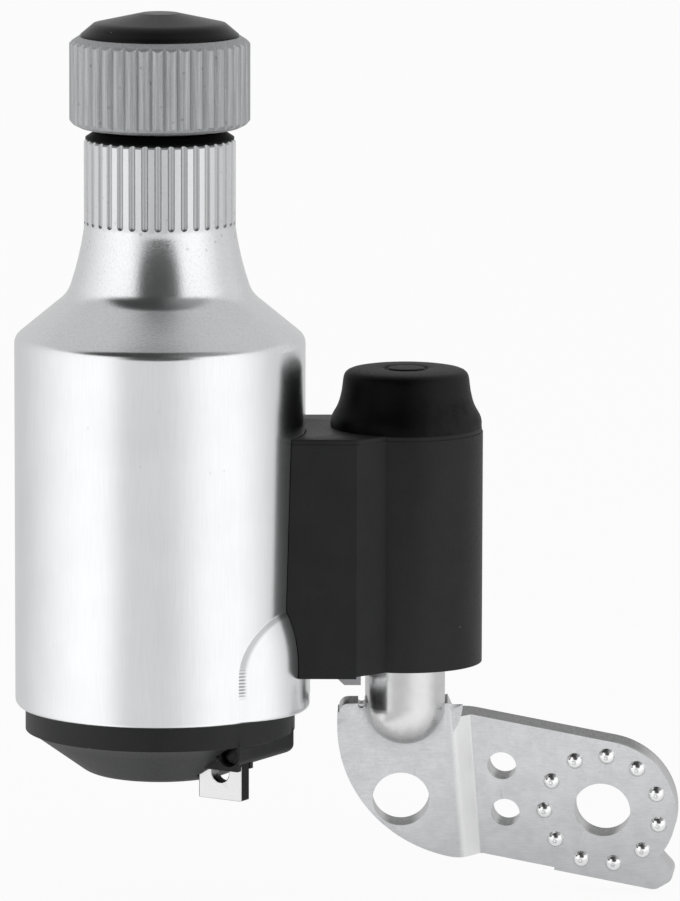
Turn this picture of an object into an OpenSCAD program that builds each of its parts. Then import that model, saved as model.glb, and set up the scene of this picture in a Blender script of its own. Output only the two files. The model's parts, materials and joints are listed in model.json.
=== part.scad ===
// Bottle dynamo for a bicycle's lamps.
// The tyre's side wall drives the ribbed roller on top, which spins a magnet inside the bottle.
// The bottle swings on a steel pin that stands in a stamped bracket, and a button frees its latch.
// Millimetres. The origin is in the middle of the bracket's main bolt hole, +Z runs up along the
// bottle, the bottle hangs on the -X side and the tyre is on the -Y side.

/* [Bottle shell] */
// Outer diameter of the bottle
body_d = 40.4; // [39.4:0.1:42]
// Height of the straight wall, from the lower edge to the shoulder
wall_h = 50.9; // [50.6:0.1:60]
// Thickness of the shell's wall
shell_wall = 1.2; // [1:0.1:1.5]
// Radius of the rolled lower edge
lower_round = 1.05; // [0.85:0.1:1.15]
// Radius between the wall and the shoulder
shoulder_round = 1.8; // [1.4:0.1:3]
// Slope of the shoulder above the horizontal, in degrees
shoulder_slope = 39.5; // [37:0.5:42]
// Radius between the shoulder and the neck's flare
throat_round = 4.5; // [3:0.1:5.5]
// Radius of the neck's long flare
flare_round = 45; // [38:1:52]
// Slope of the flare to the bottle's axis where it leaves the neck, in degrees
flare_start = 8; // [6:0.5:10]
// Slope of the flare to the bottle's axis at its foot, in degrees
flare_angle = 18.5; // [17:0.5:20]
// Outer diameter of the neck
neck_d = 21; // [20.4:0.1:22]
// Height of the knurled part of the neck
knurl_h = 12.3; // [9:0.1:16]
// Number of grooves round the neck
knurl_count = 36; // [24:1:40]
// Width of a groove
knurl_groove_w = 1; // [0.5:0.05:1.1]
// Plain band between the flare and the lower ends of the grooves
knurl_band = 1; // [0.4:0.1:2]
// How far the two pressed bulges low on the hinge side stand out
bulge_out = 1.7; // [1:0.1:1.9]
// Angle of the bulges to either side of the hinge side's middle
bulge_angle = 28; // [24:1:32]
// Radius of a bulge seen from above
bulge_r = 13.3; // [12:0.1:14.5]
// Height above the lower edge at which the bulges end
bulge_h = 14.9; // [13:0.1:16]
// Height over which a bulge fades out to its upper end
bulge_fade = 8.2; // [7:0.1:9]
// Depth of the step in the shell's roof that the stator bears on, below the shoulder
bore_drop = 1; // [0.8:0.1:1.4]
// Height of the cone inside the shoulder
throat_h = 4.6; // [4:0.1:5]
// Radius at the top of that cone
throat_r = 12; // [11:0.1:13]

/* [Drive roller] */
// Diameter over the ribs
roller_d = 25; // [24.5:0.1:27]
// Height of the roller
roller_h = 13; // [11:0.1:15]
// Number of ribs
rib_count = 40; // [30:1:44]
// Radius of one rib's round back
rib_r = 1.05; // [1.02:0.01:1.2]
// Height of the seal between the neck and the roller
seal_h = 1; // [0.9:0.1:1.6]
// Gap between the seal and the roller
roller_gap = 0.2; // [0.15:0.05:0.4]
// Height of the cap on the roller
cap_h = 3.2; // [3:0.1:4]

/* [Shaft and magnet] */
// Diameter of the shaft
shaft_d = 6; // [5:0.1:6.4]
// Radial clearance of the shaft in its bearings
shaft_clear = 0.05; // [0.02:0.01:0.08]
// Outer diameter of the bronze sleeve in the neck
neck_bush_d = 14; // [11:0.5:15]
// Outer diameter of the bronze sleeve in the bearing plate
plate_bush_d = 10; // [9:0.5:12]
// Length of the magnet
magnet_l = 26; // [22:0.5:27]
// Outer diameter of the hub that carries the magnet
hub_d = 11; // [9:0.5:13]
// Air gap between the magnet and the claws
air_gap = 0.6; // [0.4:0.05:0.8]
// Height of the nut that clamps the roller
nut_h = 1.7; // [1.4:0.1:1.9]
// Width of that nut over its corners
nut_d = 11.2; // [10:0.2:11.6]

/* [Stator] */
// Thickness of the iron ring that joins the claw plates
yoke_ring_t = 1.4; // [1:0.1:1.6]
// Thickness of a claw
claw_t = 1.3; // [1.2:0.1:1.6]
// Thickness of a claw plate
claw_plate_t = 2; // [1.6:0.1:2.2]
// Number of claws on each plate
claws_per_plate = 4; // [3:1:5]
// Share of the pole pitch that a claw covers
claw_share = 0.78; // [0.6:0.01:0.82]
// Height of the coil's bobbin over its flanges
bobbin_h = 30; // [28.5:0.5:31]
// Thickness of the bobbin's walls
bobbin_wall = 0.9; // [0.6:0.1:1.1]
// Depth of the winding
winding_t = 2.2; // [1.5:0.1:2.3]
// How far the bobbin's flanges stand past the winding
flange_over = 0.8; // [0.4:0.1:1]
// Thickness of the bearing plate
bearing_plate_t = 2; // [1.6:0.1:2.4]
// Height of the bearing plate's rim
rim_h = 3.5; // [3:0.1:4]
// Thickness of that rim
rim_t = 1.8; // [1.4:0.1:2.2]
// Radial clearance of what is pushed into the shell
push_clear = 0.03; // [0.02:0.01:0.08]

/* [Bottom cover] */
// Height of the cover's cone
cone_h = 5.8; // [5:0.1:7]
// Height of the plain ring above the cone
ring_h = 3.6; // [3:0.1:5]
// How far the plain ring stands in from the bottle's wall
ring_step = 1.4; // [1.3:0.1:1.8]
// Diameter of the flat bottom
flat_d = 20; // [17:0.1:21]
// Radius between the flat bottom and the cone
bowl_round = 4; // [2:0.5:6]
// Wall of the cover
cover_wall = 1.6; // [1.4:0.1:1.8]
// Height of the spigot that stands inside the shell
spigot_h = 3.1; // [2.8:0.1:3.4]

/* [Wire terminal] */
// Direction of the terminal block seen from above, in degrees from +X
block_turn = -31.5; // [-36:0.5:-28]
// How far the block's outer face stands in from the bottle's wall
block_inset = 2.6; // [2.2:0.1:3]
// Length of the block
block_l = 14; // [13.4:0.1:14.6]
// Thickness of the block
block_t = 4; // [3.8:0.1:4.4]
// Height of the block's underside above the cover's flat bottom
block_z = 3.1; // [2.8:0.1:3.3]
// Height of the block
block_h = 4; // [3.8:0.1:4.4]
// Radius of the block's lower corners
block_round = 1.2; // [0.6:0.1:1.4]
// Diameter of the tunnel for the lamp's wire
tunnel_d = 2.8; // [2:0.1:3]
// Height of the tunnel above the block's underside
tunnel_z = 1.6; // [1.5:0.05:1.9]
// Width of the terminal's tab
tab_w = 7; // [6:0.1:7.4]
// Thickness of the terminal's tab
tab_t = 2; // [1.4:0.1:2.2]
// How far the tab hangs below the cover's flat bottom
tab_drop = 1.8; // [1.4:0.1:2.2]
// Diameter of the hole that grips the wire
wire_hole_d = 2.8; // [1.5:0.1:2.9]
// Height of that hole above the cover's flat bottom
wire_hole_z = 2; // [1.8:0.1:2.4]
// How far the tab is pushed in to free the wire
tab_travel = 2.2; // [1.5:0.1:2.4]
// Clearance of the tab in its slot, on each side
tab_clear = 0.2; // [0.15:0.05:0.3]
// Width of the brass contact strip
strip_w = 2.4; // [2:0.1:2.6]
// Thickness of the brass contact strip
strip_t = 0.5; // [0.4:0.05:0.6]

/* [Hinge pin] */
// Distance of the pin from the bottle's wall, along X
pivot_gap = 14; // [13.7:0.1:14.6]
// Distance of the pin from the bottle's axis, along Y
pivot_y = 5.2; // [4.6:0.1:5.8]
// Diameter of the pin
pin_d = 11.2; // [10.4:0.1:11.4]
// Diameter of the post on top of the pin
post_d = 7.2; // [6.6:0.1:7.6]
// Radial clearance of the pin and the post in their bushes
pin_clear = 0.05; // [0.02:0.01:0.08]
// Angle that the bottle swings through, in degrees
swing_angle = 24; // [15:1:26]
// Height of the pin's round foot above the cover's flat bottom
foot_z = 8.5; // [8:0.1:9]

/* [Hinge arm] */
// Height of the lower eye
eye_t = 4.2; // [3.8:0.1:4.6]
// Height of the upper eye
upper_eye_t = 3.7; // [3.2:0.1:4]
// Thickness of the bushes' walls
bush_wall = 1.3; // [1:0.1:1.4]
// Thickness of the web between the eyes
web_t = 4.4; // [3.6:0.1:5]
// Thickness of the saddle on the bottle
saddle_t = 1.6; // [1.4:0.1:1.8]
// Angle that the saddle covers
saddle_width = 44; // [40:1:46]
// Turn of the saddle's middle from +X
saddle_turn = 9; // [8:0.5:10]
// Diameter of the rivets
rivet_d = 3; // [2.4:0.1:3.2]
// Angle of the rivets to either side of the saddle's middle
rivet_spread = 15; // [13:0.5:16]
// Height of the lower rivets above the hinge cover's lower edge
rivet_low = 18; // [16:0.5:19]
// Distance between the upper and lower rivets
rivet_pitch = 9; // [7:0.5:9.5]
// Height of the lip that shows under the hinge cover
lip_drop = 2.3; // [1.8:0.1:2.5]

/* [Hinge cover] */
// Diameter of the cover's barrel
barrel_d = 21.5; // [21.3:0.1:22.5]
// Height of the cover's lower edge above the bottle's flat bottom
hood_z = 14.8; // [14.6:0.1:15.2]
// Height of the cover
hood_h = 32.5; // [32.3:0.1:34.5]
// Wall of the cover
hood_wall = 1.3; // [1.1:0.1:1.4]
// Thickness of the cover's roof
roof_t = 1.6; // [1.4:0.1:1.8]
// Distance of the cover's front face from the bottle's axis, at its top
hood_front = 8.6; // [8:0.1:9]
// Draft of the front face, in degrees
hood_draft = 3; // [1:0.5:3.5]
// Distance from the front face's end back to the pin, along X
face_back = 6.8; // [6.2:0.1:7.6]
// Distance along X over which the bevel runs to the barrel
bevel_run = 4; // [3:0.1:5]

/* [Latch and button] */
// How far the button is pressed
button_travel = 2.5; // [1.8:0.1:2.5]
// Diameter of the button's head under its boot
button_head_d = 14.4; // [12:0.1:14.8]
// Diameter of the button's stem
stem_d = 9.2; // [8.8:0.1:9.6]
// Clearance of the stem in the roof, on each side
stem_clear = 0.2; // [0.1:0.05:0.3]
// Diameter of the latch's collar
collar_d = 14.8; // [13.8:0.1:15]
// Thickness of the latch's collar
collar_t = 2.2; // [2:0.1:2.4]
// Depth of the collar's notch
notch_depth = 1.2; // [0.8:0.1:1.4]
// Thickness of the dog that drops into the notch
dog_t = 1.4; // [1.1:0.1:1.6]
// Width of the dog, in degrees
dog_angle = 20; // [14:1:24]
// Wall of the boot
boot_wall = 1; // [0.7:0.05:1.1]
// Height of the boot
boot_h = 9.1; // [8.8:0.1:9.6]
// Thickness of the boot's flange on the hinge cover
boot_flange = 0.7; // [0.5:0.05:0.9]
// Thickness of the yoke on the button's stem
yoke_t = 1.2; // [1:0.1:1.4]
// Thickness of the clip above the collar
clip_t = 0.8; // [0.6:0.1:1]

/* [Springs] */
// Wire of the swing spring
swing_wire = 1.5; // [1:0.1:1.6]
// Middle diameter of the swing spring's coils
swing_coil_d = 12.4; // [11.8:0.1:13]
// Number of coils of the swing spring
swing_turns = 4; // [3:1:4]
// Wire of the small springs
fine_wire = 0.6; // [0.4:0.05:0.7]
// Middle diameter of the button spring's coils
fine_coil_d = 4.4; // [3.6:0.1:4.6]
// Number of coils of each small spring
fine_turns = 7; // [5:1:8]
// Wire of the terminal's spring
tab_wire = 0.4; // [0.3:0.05:0.45]
// Middle diameter of the terminal spring's coils
tab_coil_d = 2.6; // [2.2:0.1:2.7]

/* [Bracket] */
// Thickness of the bracket's steel
plate_t = 3; // [2.5:0.1:3.4]
// Lean of the plate, top towards the tyre, in degrees
plate_tilt = 11; // [8:0.5:14]
// Turn of the outer plate towards the tyre, in degrees
plate_yaw = 8.8; // [4:0.2:12]
// Lean of the fold lines, in degrees
fold_lean = 4.5; // [2:0.5:7]
// Distance of the first fold from the pin, level with the pin's foot
fold_x = 5.9; // [5.6:0.1:6.6]
// Length of the joggle along X
joggle_run = 3.2; // [2.8:0.1:4]
// Depth of the joggle
joggle = 2.7; // [2:0.1:3.2]
// Inner radius of the folds
fold_r = 1; // [0.5:0.1:1.2]
// Radius of the inner plate's round edge
lobe_r = 20.2; // [19.6:0.1:21]
// Centre of that round edge, right of the pin
lobe_x = 10.7; // [10:0.1:11]
// Centre of that round edge, below the pin's foot
lobe_drop = 3.4; // [3:0.1:4]
// Diameter of the two large holes
bolt_d = 8; // [6:0.1:8.4]
// Distance of the inner plate's hole below the pin's foot
lobe_hole_drop = 14.4; // [13.6:0.1:15]
// Offset of the inner plate's hole towards the bottle
lobe_hole_x = 0.5; // [0:0.1:1]
// Distance of the main bolt hole from the second fold
bolt_run = 17.6; // [17:0.1:19]
// Distance of the main bolt hole below the pin's foot
bolt_drop = 18.1; // [17:0.1:19]
// Radius of the outer plate's round end
end_r = 10.5; // [10.2:0.1:11]
// Fall of the outer plate towards its end, in degrees from the fold's square
strip_fall = 12.8; // [11:0.2:14]
// Number of raised dimples round the main hole
dimple_count = 11; // [8:1:12]
// Radius of the ring of dimples
dimple_ring_r = 8.2; // [7.6:0.1:8.4]
// Diameter of a dimple
dimple_d = 2.4; // [1.6:0.1:2.6]
// Height of a dimple
dimple_h = 0.8; // [0.4:0.1:0.9]
// Radius of the shallow dish round the pin's foot
dish_r = 8; // [7:0.2:9]
// Depth of that dish
dish_depth = 0.3; // [0.1:0.05:0.4]
// Diameter of the two small holes
small_hole_d = 4.1; // [3:0.1:4.4]
// Distance between the two small holes
small_hole_pitch = 7.1; // [6.6:0.1:7.6]
// Distance of the small holes from the main hole, along the plate
small_hole_back = 13.8; // [13.4:0.1:14.4]
// How far the lower small hole sits below the main hole's middle
small_hole_low = 0.2; // [0:0.1:0.6]

/* [Hidden] */
$fn = 96;
round_fn = 32;
cut = 1;

// Heights along the bottle, from the cover's flat bottom
shell_z = cone_h + ring_h;
wall_top = shell_z + wall_h;
body_r = body_d / 2;
bore_r = body_r - shell_wall;
neck_r = neck_d / 2;
shoulder_end = [
  body_r - shoulder_round * (1 - sin(shoulder_slope)),
  wall_top + shoulder_round * cos(shoulder_slope)
];
throat_turn = 90 - shoulder_slope;
flare_end_r = neck_r + flare_round * (cos(flare_start) - cos(flare_angle));
throat_end_r = flare_end_r + throat_round * (cos(flare_angle) - cos(throat_turn));
throat_end_z = shoulder_end[1] + (shoulder_end[0] - throat_end_r) * tan(shoulder_slope);
flare_end_z = throat_end_z + throat_round * (sin(throat_turn) - sin(flare_angle));
neck_z = flare_end_z + flare_round * (sin(flare_angle) - sin(flare_start));
neck_top = neck_z + knurl_h;
seal_top = neck_top + seal_h;
roller_z = seal_top + roller_gap;
roller_top = roller_z + roller_h;

// Room inside the bottle, from its wall inwards
bore_top = wall_top - bore_drop;
push_r = bore_r - push_clear;
slip = 0.1;
ring_in_r = push_r - yoke_ring_t;
rivet_r = rivet_d / 2;
rivet_head_r = rivet_r * 1.55;
ring_gap = 2 * (rivet_spread + asin((rivet_head_r + slip) / ring_in_r));
flange_r = ring_in_r - slip;
winding_r = flange_r - flange_over;
core_r = winding_r - winding_t - bobbin_wall;
claw_out_r = core_r - slip * 2;
claw_in_r = claw_out_r - claw_t;
magnet_r = claw_in_r - air_gap;
spigot_top = shell_z + spigot_h;
stator_z = spigot_top + bearing_plate_t + rim_h;
bobbin_z = stator_z + claw_plate_t;
bobbin_top = bobbin_z + bobbin_h;
stator_top = bobbin_top + claw_plate_t;
magnet_z = bobbin_z + (bobbin_h - magnet_l) / 2;
claw_gap = 3;
claw_reach = bobbin_h - claw_gap;
shaft_r = shaft_d / 2;
shaft_z = shell_z + slip * 10;
shaft_past_nut = 0.2;
shaft_top = roller_top + nut_h + shaft_past_nut;

// Hinge, from the cover's flat bottom
pivot_x = body_r + pivot_gap;
pin_r = pin_d / 2;
post_r = post_d / 2;
barrel_r = barrel_d / 2;
barrel_in_r = barrel_r - hood_wall;
hood_top = hood_z + hood_h;
roof_z = hood_top - roof_t;
run_gap = 0.3;
eye_gap = 0.4;
lower_eye_z = hood_z + eye_gap;
pin_top = lower_eye_z + eye_t + cut;
yoke_z = roof_z - 0.2 - yoke_t;
post_top = yoke_z - button_travel - run_gap;
collar_top = post_top - run_gap - clip_t;
collar_z = collar_top - collar_t;
dog_top = collar_z - run_gap;
dog_z = dog_top - dog_t;
upper_eye_top = dog_z - button_travel - run_gap;
upper_eye_z = upper_eye_top - upper_eye_t;
eye_r = barrel_in_r - 0.5;
post_bush_r = post_r + pin_clear + bush_wall;
pin_bush_r = pin_r + pin_clear + bush_wall;
swing_spring_z = pin_top + 0.2;
swing_spring_h = upper_eye_z - swing_spring_z - 0.1;
finger_in_r = collar_d / 2 + 0.4;
finger_out_r = barrel_in_r - run_gap;
dog_in_r = post_r + 1.6;
latch_turn = 200;
groove_depth = 0.6;

// Wire terminal: x out from the bottle's axis, y along the block, z up
block_out = body_r - block_inset;
tab_out = block_out - block_t;
tab_back = -(block_l / 2 - 2.2);
shelf_z = block_z + 2;
head_t = 1;
head_side = 0.7;
head_l = 4.5;
head_mid = -tab_w / 2 + head_l / 2;
terminal_spring_z = shelf_z + head_t + 0.1;

// Bracket
pin_foot = [pivot_x, pivot_y, foot_z];
joggle_angle = atan2(joggle, joggle_run);
fold_far_x = fold_x + joggle_run;
bend_out_r = fold_r + plate_t;
function rot_x(a, v) = [v[0], v[1] * cos(a) - v[2] * sin(a), v[1] * sin(a) + v[2] * cos(a)];
function rot_y(a, v) = [v[0] * cos(a) + v[2] * sin(a), v[1], v[2] * cos(a) - v[0] * sin(a)];
function rot_z(a, v) = [v[0] * cos(a) - v[1] * sin(a), v[0] * sin(a) + v[1] * cos(a), v[2]];
bolt_in_fold = [fold_far_x, joggle, 0] + rot_z(-plate_yaw, [bolt_run, plate_t / 2, -bolt_drop]);
bolt_at = pin_foot + rot_x(plate_tilt, rot_y(-fold_lean, bolt_in_fold));

// Points of an arc round c, from angle a0 to angle a1, in steps of about step degrees
function arc(c, r, a0, a1, step = 4) =
  let (n = max(2, ceil(abs(a1 - a0) / step)))
  [for (i = [0 : n]) c + r * [cos(a0 + (a1 - a0) * i / n), sin(a0 + (a1 - a0) * i / n)]];

// Moves the bottle's own frame, with its origin under the bottle's axis, to the bolt hole
module placed() translate(-bolt_at) children();
module on_pivot(z = 0) translate([pivot_x, pivot_y, z]) children();

module tube(h, r_out, r_in) {
  difference() {
    cylinder(h = h, r = r_out);
    translate([0, 0, -cut]) cylinder(h = h + 2 * cut, r = r_in);
  }
}

// A sector of a ring, centred on angle mid
module ring_sector(h, r_out, r_in, mid, width) {
  reach = r_out * 2;
  half = width / 2;
  intersection() {
    tube(h, r_out, r_in);
    rotate([0, 0, mid])
      linear_extrude(height = h)
        polygon([[0, 0], reach * [cos(half), -sin(half)], reach * [1, 0], reach * [cos(half), sin(half)]]);
  }
}

// Helical spring of height h over its wire, swept from rings of points along the helix
coil_sides = 6;
coil_steps = 12;
function coil_ring(h, r, wire, turns, i) =
  let (
    a = 360 * i / coil_steps,
    rise = (h - wire) / turns,
    out = [cos(a), sin(a), 0],
    flow = [-r * sin(a), r * cos(a), rise / (2 * PI)],
    up = cross(out, flow) / norm(flow),
    mid = r * out + [0, 0, wire / 2 + rise * i / coil_steps]
  )
  [for (k = [0 : coil_sides - 1])
    mid + wire / 2 * (cos(360 * k / coil_sides) * out - sin(360 * k / coil_sides) * up)];

module coil(h, coil_d, wire, turns) {
  rings = turns * coil_steps;
  points = [for (i = [0 : rings]) each coil_ring(h, coil_d / 2, wire, turns, i)];
  n = coil_sides;
  polyhedron(points = points, convexity = 8, faces = concat(
    [[for (k = [0 : n - 1]) k]],
    [for (i = [0 : rings - 1]) for (k = [0 : n - 1])
      each [
        [i * n + k, (i + 1) * n + k, i * n + (k + 1) % n],
        [i * n + (k + 1) % n, (i + 1) * n + k, (i + 1) * n + (k + 1) % n]
      ]],
    [[for (k = [n - 1 : -1 : 0]) rings * n + k]]
  ));
}

// Outside of the bottle's wall with its bulges, grown by some clearance
module bottle_outside(grow = 0) {
  below = cone_h;
  translate([0, 0, shell_z - below]) cylinder(h = wall_h + below, r = body_r + grow);
  bulges(grow, below);
}

// Upright outline of a bulge from its own axis out: rolled in at its foot, which is a little above
// the shell's lower edge, straight above it, and drawn in to its upper end
fade_r = (pow(bulge_fade, 2) + pow(bulge_out, 2)) / (2 * bulge_out);
bulge_foot = 0.25;
module bulge_outline(grow = 0, below = 0) {
  foot = bulge_h - bulge_fade - bulge_foot + below;
  roll = lower_round * 0.8;
  top = bulge_fade * 1.25;
  polygon(concat(
    [[0, -foot]],
    arc([bulge_r + grow - roll, roll - foot], roll, -90, 0, 15),
    arc([bulge_r + grow - fade_r, 0], fade_r, 0, asin(top / fade_r), 3),
    [[0, top]]
  ));
}

// Two bulges at the hinge side and a flat between them
bulge_flat_in = 0.15;
module bulges(grow = 0, below = 0) {
  off = body_r + bulge_out - bulge_r;
  half_gap = off * sin(bulge_angle);
  translate([0, 0, shell_z + bulge_h - bulge_fade]) {
    for (side = [-1, 1])
      rotate([0, 0, side * bulge_angle])
        translate([off, 0, 0]) rotate_extrude() bulge_outline(grow, below);
    translate([off * cos(bulge_angle) - bulge_flat_in, half_gap, 0])
      rotate([90, 0, 0]) linear_extrude(height = 2 * half_gap) bulge_outline(grow, below);
  }
}

neck_edge = 0.4;
module shell_outline() {
  polygon(concat(
    [[0, shell_z]],
    arc([body_r - lower_round, shell_z + lower_round], lower_round, -90, 0, 15),
    arc([body_r - shoulder_round, wall_top], shoulder_round, 0, throat_turn),
    arc(
      [throat_end_r + throat_round * cos(throat_turn), throat_end_z + throat_round * sin(throat_turn)],
      throat_round, 180 + throat_turn, 180 + flare_angle
    ),
    arc(
      [neck_r + flare_round * cos(flare_start), neck_z + flare_round * sin(flare_start)],
      flare_round, 180 + flare_angle, 180 + flare_start, 2
    ),
    [[neck_r, neck_top - neck_edge], [neck_r - neck_edge, neck_top], [0, neck_top]]
  ));
}

module shell_bore() {
  polygon([
    [0, shell_z - cut],
    [bore_r, shell_z - cut],
    [bore_r, bore_top],
    [throat_r, bore_top + throat_h],
    [neck_bush_d / 2, bore_top + throat_h],
    [neck_bush_d / 2, neck_top + cut],
    [0, neck_top + cut]
  ]);
}

module body_shell() placed() color([0.80, 0.80, 0.82]) difference() {
  union() {
    rotate_extrude() shell_outline();
    bulges();
  }
  rotate_extrude() shell_bore();
  for (i = [0 : knurl_count - 1])
    rotate([0, 0, i * 360 / knurl_count]) translate([neck_r + knurl_groove_w * 0.1, 0, neck_z + knurl_band]) {
      cylinder(h = knurl_h, d = knurl_groove_w, $fn = 16);
      sphere(d = knurl_groove_w, $fn = 16);
    }
  rivet_holes();
}

seal_lip = 0.5;
module neck_bearing() placed() color([0.66, 0.50, 0.30])
  translate([0, 0, bore_top + throat_h])
    tube(neck_top - bore_top - throat_h - seal_lip, neck_bush_d / 2, shaft_r + shaft_clear);

module neck_seal() placed() color([0.08, 0.08, 0.08]) rotate_extrude() polygon([
  [shaft_r + run_gap, neck_top - seal_lip],
  [neck_bush_d / 2 - push_clear, neck_top - seal_lip],
  [neck_bush_d / 2 - push_clear, neck_top],
  [neck_r - neck_edge / 2, neck_top],
  [neck_r - neck_edge / 2, neck_top + seal_h * 0.2],
  [neck_r - seal_h * 1.4, seal_top],
  [shaft_r + run_gap, seal_top]
]);

module stator_spacer() placed() color([0.55, 0.55, 0.52])
  translate([0, 0, stator_top]) tube(bore_top - stator_top, push_r, push_r - yoke_ring_t);

// A plate with claws that stand up from it into the bobbin
module claw_plate() {
  pole = 360 / claws_per_plate;
  tube(claw_plate_t, push_r, claw_in_r);
  for (i = [0 : claws_per_plate - 1])
    ring_sector(claw_plate_t + claw_reach, claw_out_r, claw_in_r, i * pole, pole / 2 * claw_share);
}

module claw_plate_lower() placed() color([0.45, 0.45, 0.48]) translate([0, 0, stator_z]) claw_plate();

module claw_plate_upper() placed() color([0.45, 0.45, 0.48])
  translate([0, 0, stator_top])
    rotate([0, 0, 180 / claws_per_plate]) mirror([0, 0, 1]) claw_plate();

// Rolled ring that is left open at the hinge side, where the rivet heads stand inside the shell
module stator_ring() placed() color([0.48, 0.48, 0.50]) translate([0, 0, bobbin_z]) difference() {
  tube(bobbin_h, push_r, ring_in_r);
  translate([0, 0, -cut])
    ring_sector(bobbin_h + 2 * cut, push_r + cut, ring_in_r - cut, saddle_turn, ring_gap);
}

module coil_bobbin() placed() color([0.85, 0.82, 0.72]) translate([0, 0, bobbin_z]) {
  tube(bobbin_h, core_r + bobbin_wall, core_r);
  tube(bobbin_wall, flange_r, core_r);
  translate([0, 0, bobbin_h - bobbin_wall]) tube(bobbin_wall, flange_r, core_r);
}

module coil_winding() placed() color([0.72, 0.36, 0.16])
  translate([0, 0, bobbin_z + bobbin_wall])
    tube(bobbin_h - 2 * bobbin_wall, winding_r, core_r + bobbin_wall);

// Plate with a rim that carries the stator, and a hub for the lower bush
hub_wall = 2;
hub_h = bearing_plate_t + 2;
module bearing_plate() placed() color([0.62, 0.63, 0.65]) difference() {
  translate([0, 0, spigot_top]) {
    cylinder(h = bearing_plate_t, r = push_r);
    cylinder(h = hub_h, r = plate_bush_d / 2 + hub_wall);
    tube(bearing_plate_t + rim_h, push_r, push_r - rim_t);
  }
  translate([0, 0, spigot_top - cut]) cylinder(h = hub_h + 2 * cut, r = plate_bush_d / 2);
  at_strip() translate([-strip_w / 2 - slip, -slip, spigot_top - cut])
    cube([strip_w + 2 * slip, strip_t + 2 * slip, bearing_plate_t + 2 * cut]);
}

bush_over = 0.6;
module lower_bearing() placed() color([0.66, 0.50, 0.30])
  translate([0, 0, spigot_top - bush_over])
    tube(hub_h + bush_over, plate_bush_d / 2, shaft_r + shaft_clear);

// Brass strip: one leg reaches down into the wire's tunnel and one up past the bearing plate
module at_block() rotate([0, 0, block_turn]) children();
module at_tab() at_block() translate([tab_out, tab_back, 0]) children();
tunnel_x = block_out - block_t / 2;
tunnel_end = block_l / 2 * 0.3;
strip_foot = block_z + tunnel_z - tunnel_d * 0.3;
strip_x = push_r - rim_t - strip_w - run_gap;
module at_strip() at_block() translate([strip_x, tunnel_end - strip_t - slip, 0]) children();
module contact_strip() placed() color([0.80, 0.62, 0.28]) {
  at_block() translate([tunnel_x - strip_w / 2, tunnel_end - strip_t - slip, strip_foot])
    cube([strip_w, strip_t, spigot_top - slip - strip_foot]);
  at_strip() translate([-strip_w / 2, 0, spigot_top - slip - strip_t])
    cube([strip_w, strip_t, bearing_plate_t + rim_h + strip_t]);
}

// Cover: a bowl with a plain ring, and a spigot that is pushed into the shell
ring_r = body_r - ring_step;
ring_edge = 0.75;
ring_edge_h = 0.27;
bowl_slope = atan2(cone_h, ring_r - ring_edge - flat_d / 2);
module cover_outline() {
  polygon(concat(
    [[0, 0]],
    arc([flat_d / 2 - bowl_round * tan(bowl_slope / 2), bowl_round], bowl_round, -90, -90 + bowl_slope),
    [
      [ring_r - ring_edge, cone_h],
      [ring_r, cone_h + ring_edge_h],
      [ring_r, shell_z],
      [push_r, shell_z],
      [push_r, spigot_top],
      [0, spigot_top]
    ]
  ));
}

module cover_hollow() {
  hollow_r = ring_r - cover_wall;
  polygon([
    [0, cover_wall],
    [flat_d / 2 - bowl_round * tan(bowl_slope / 2), cover_wall],
    [hollow_r - ring_edge, cone_h + ring_edge],
    [hollow_r, cone_h + 2 * ring_edge],
    [hollow_r, spigot_top + cut],
    [0, spigot_top + cut]
  ]);
}

// End view of the block, with its lower corners rounded
module block_outline() {
  half = block_l / 2;
  polygon(concat(
    arc([block_round - half, block_round], block_round, 180, 270, 15),
    arc([half - block_round, block_round], block_round, 270, 360, 15),
    [[half, block_h], [-half, block_h]]
  ));
}

// Section of the block across its length, with its outer corners rounded
module block_section() {
  polygon(concat(
    [[0, 0]],
    arc([block_t - block_round, block_round], block_round, 270, 360, 15),
    arc([block_t - block_brow, block_h - block_brow], block_brow, 0, 90, 15),
    [[0, block_h]]
  ));
}

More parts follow.
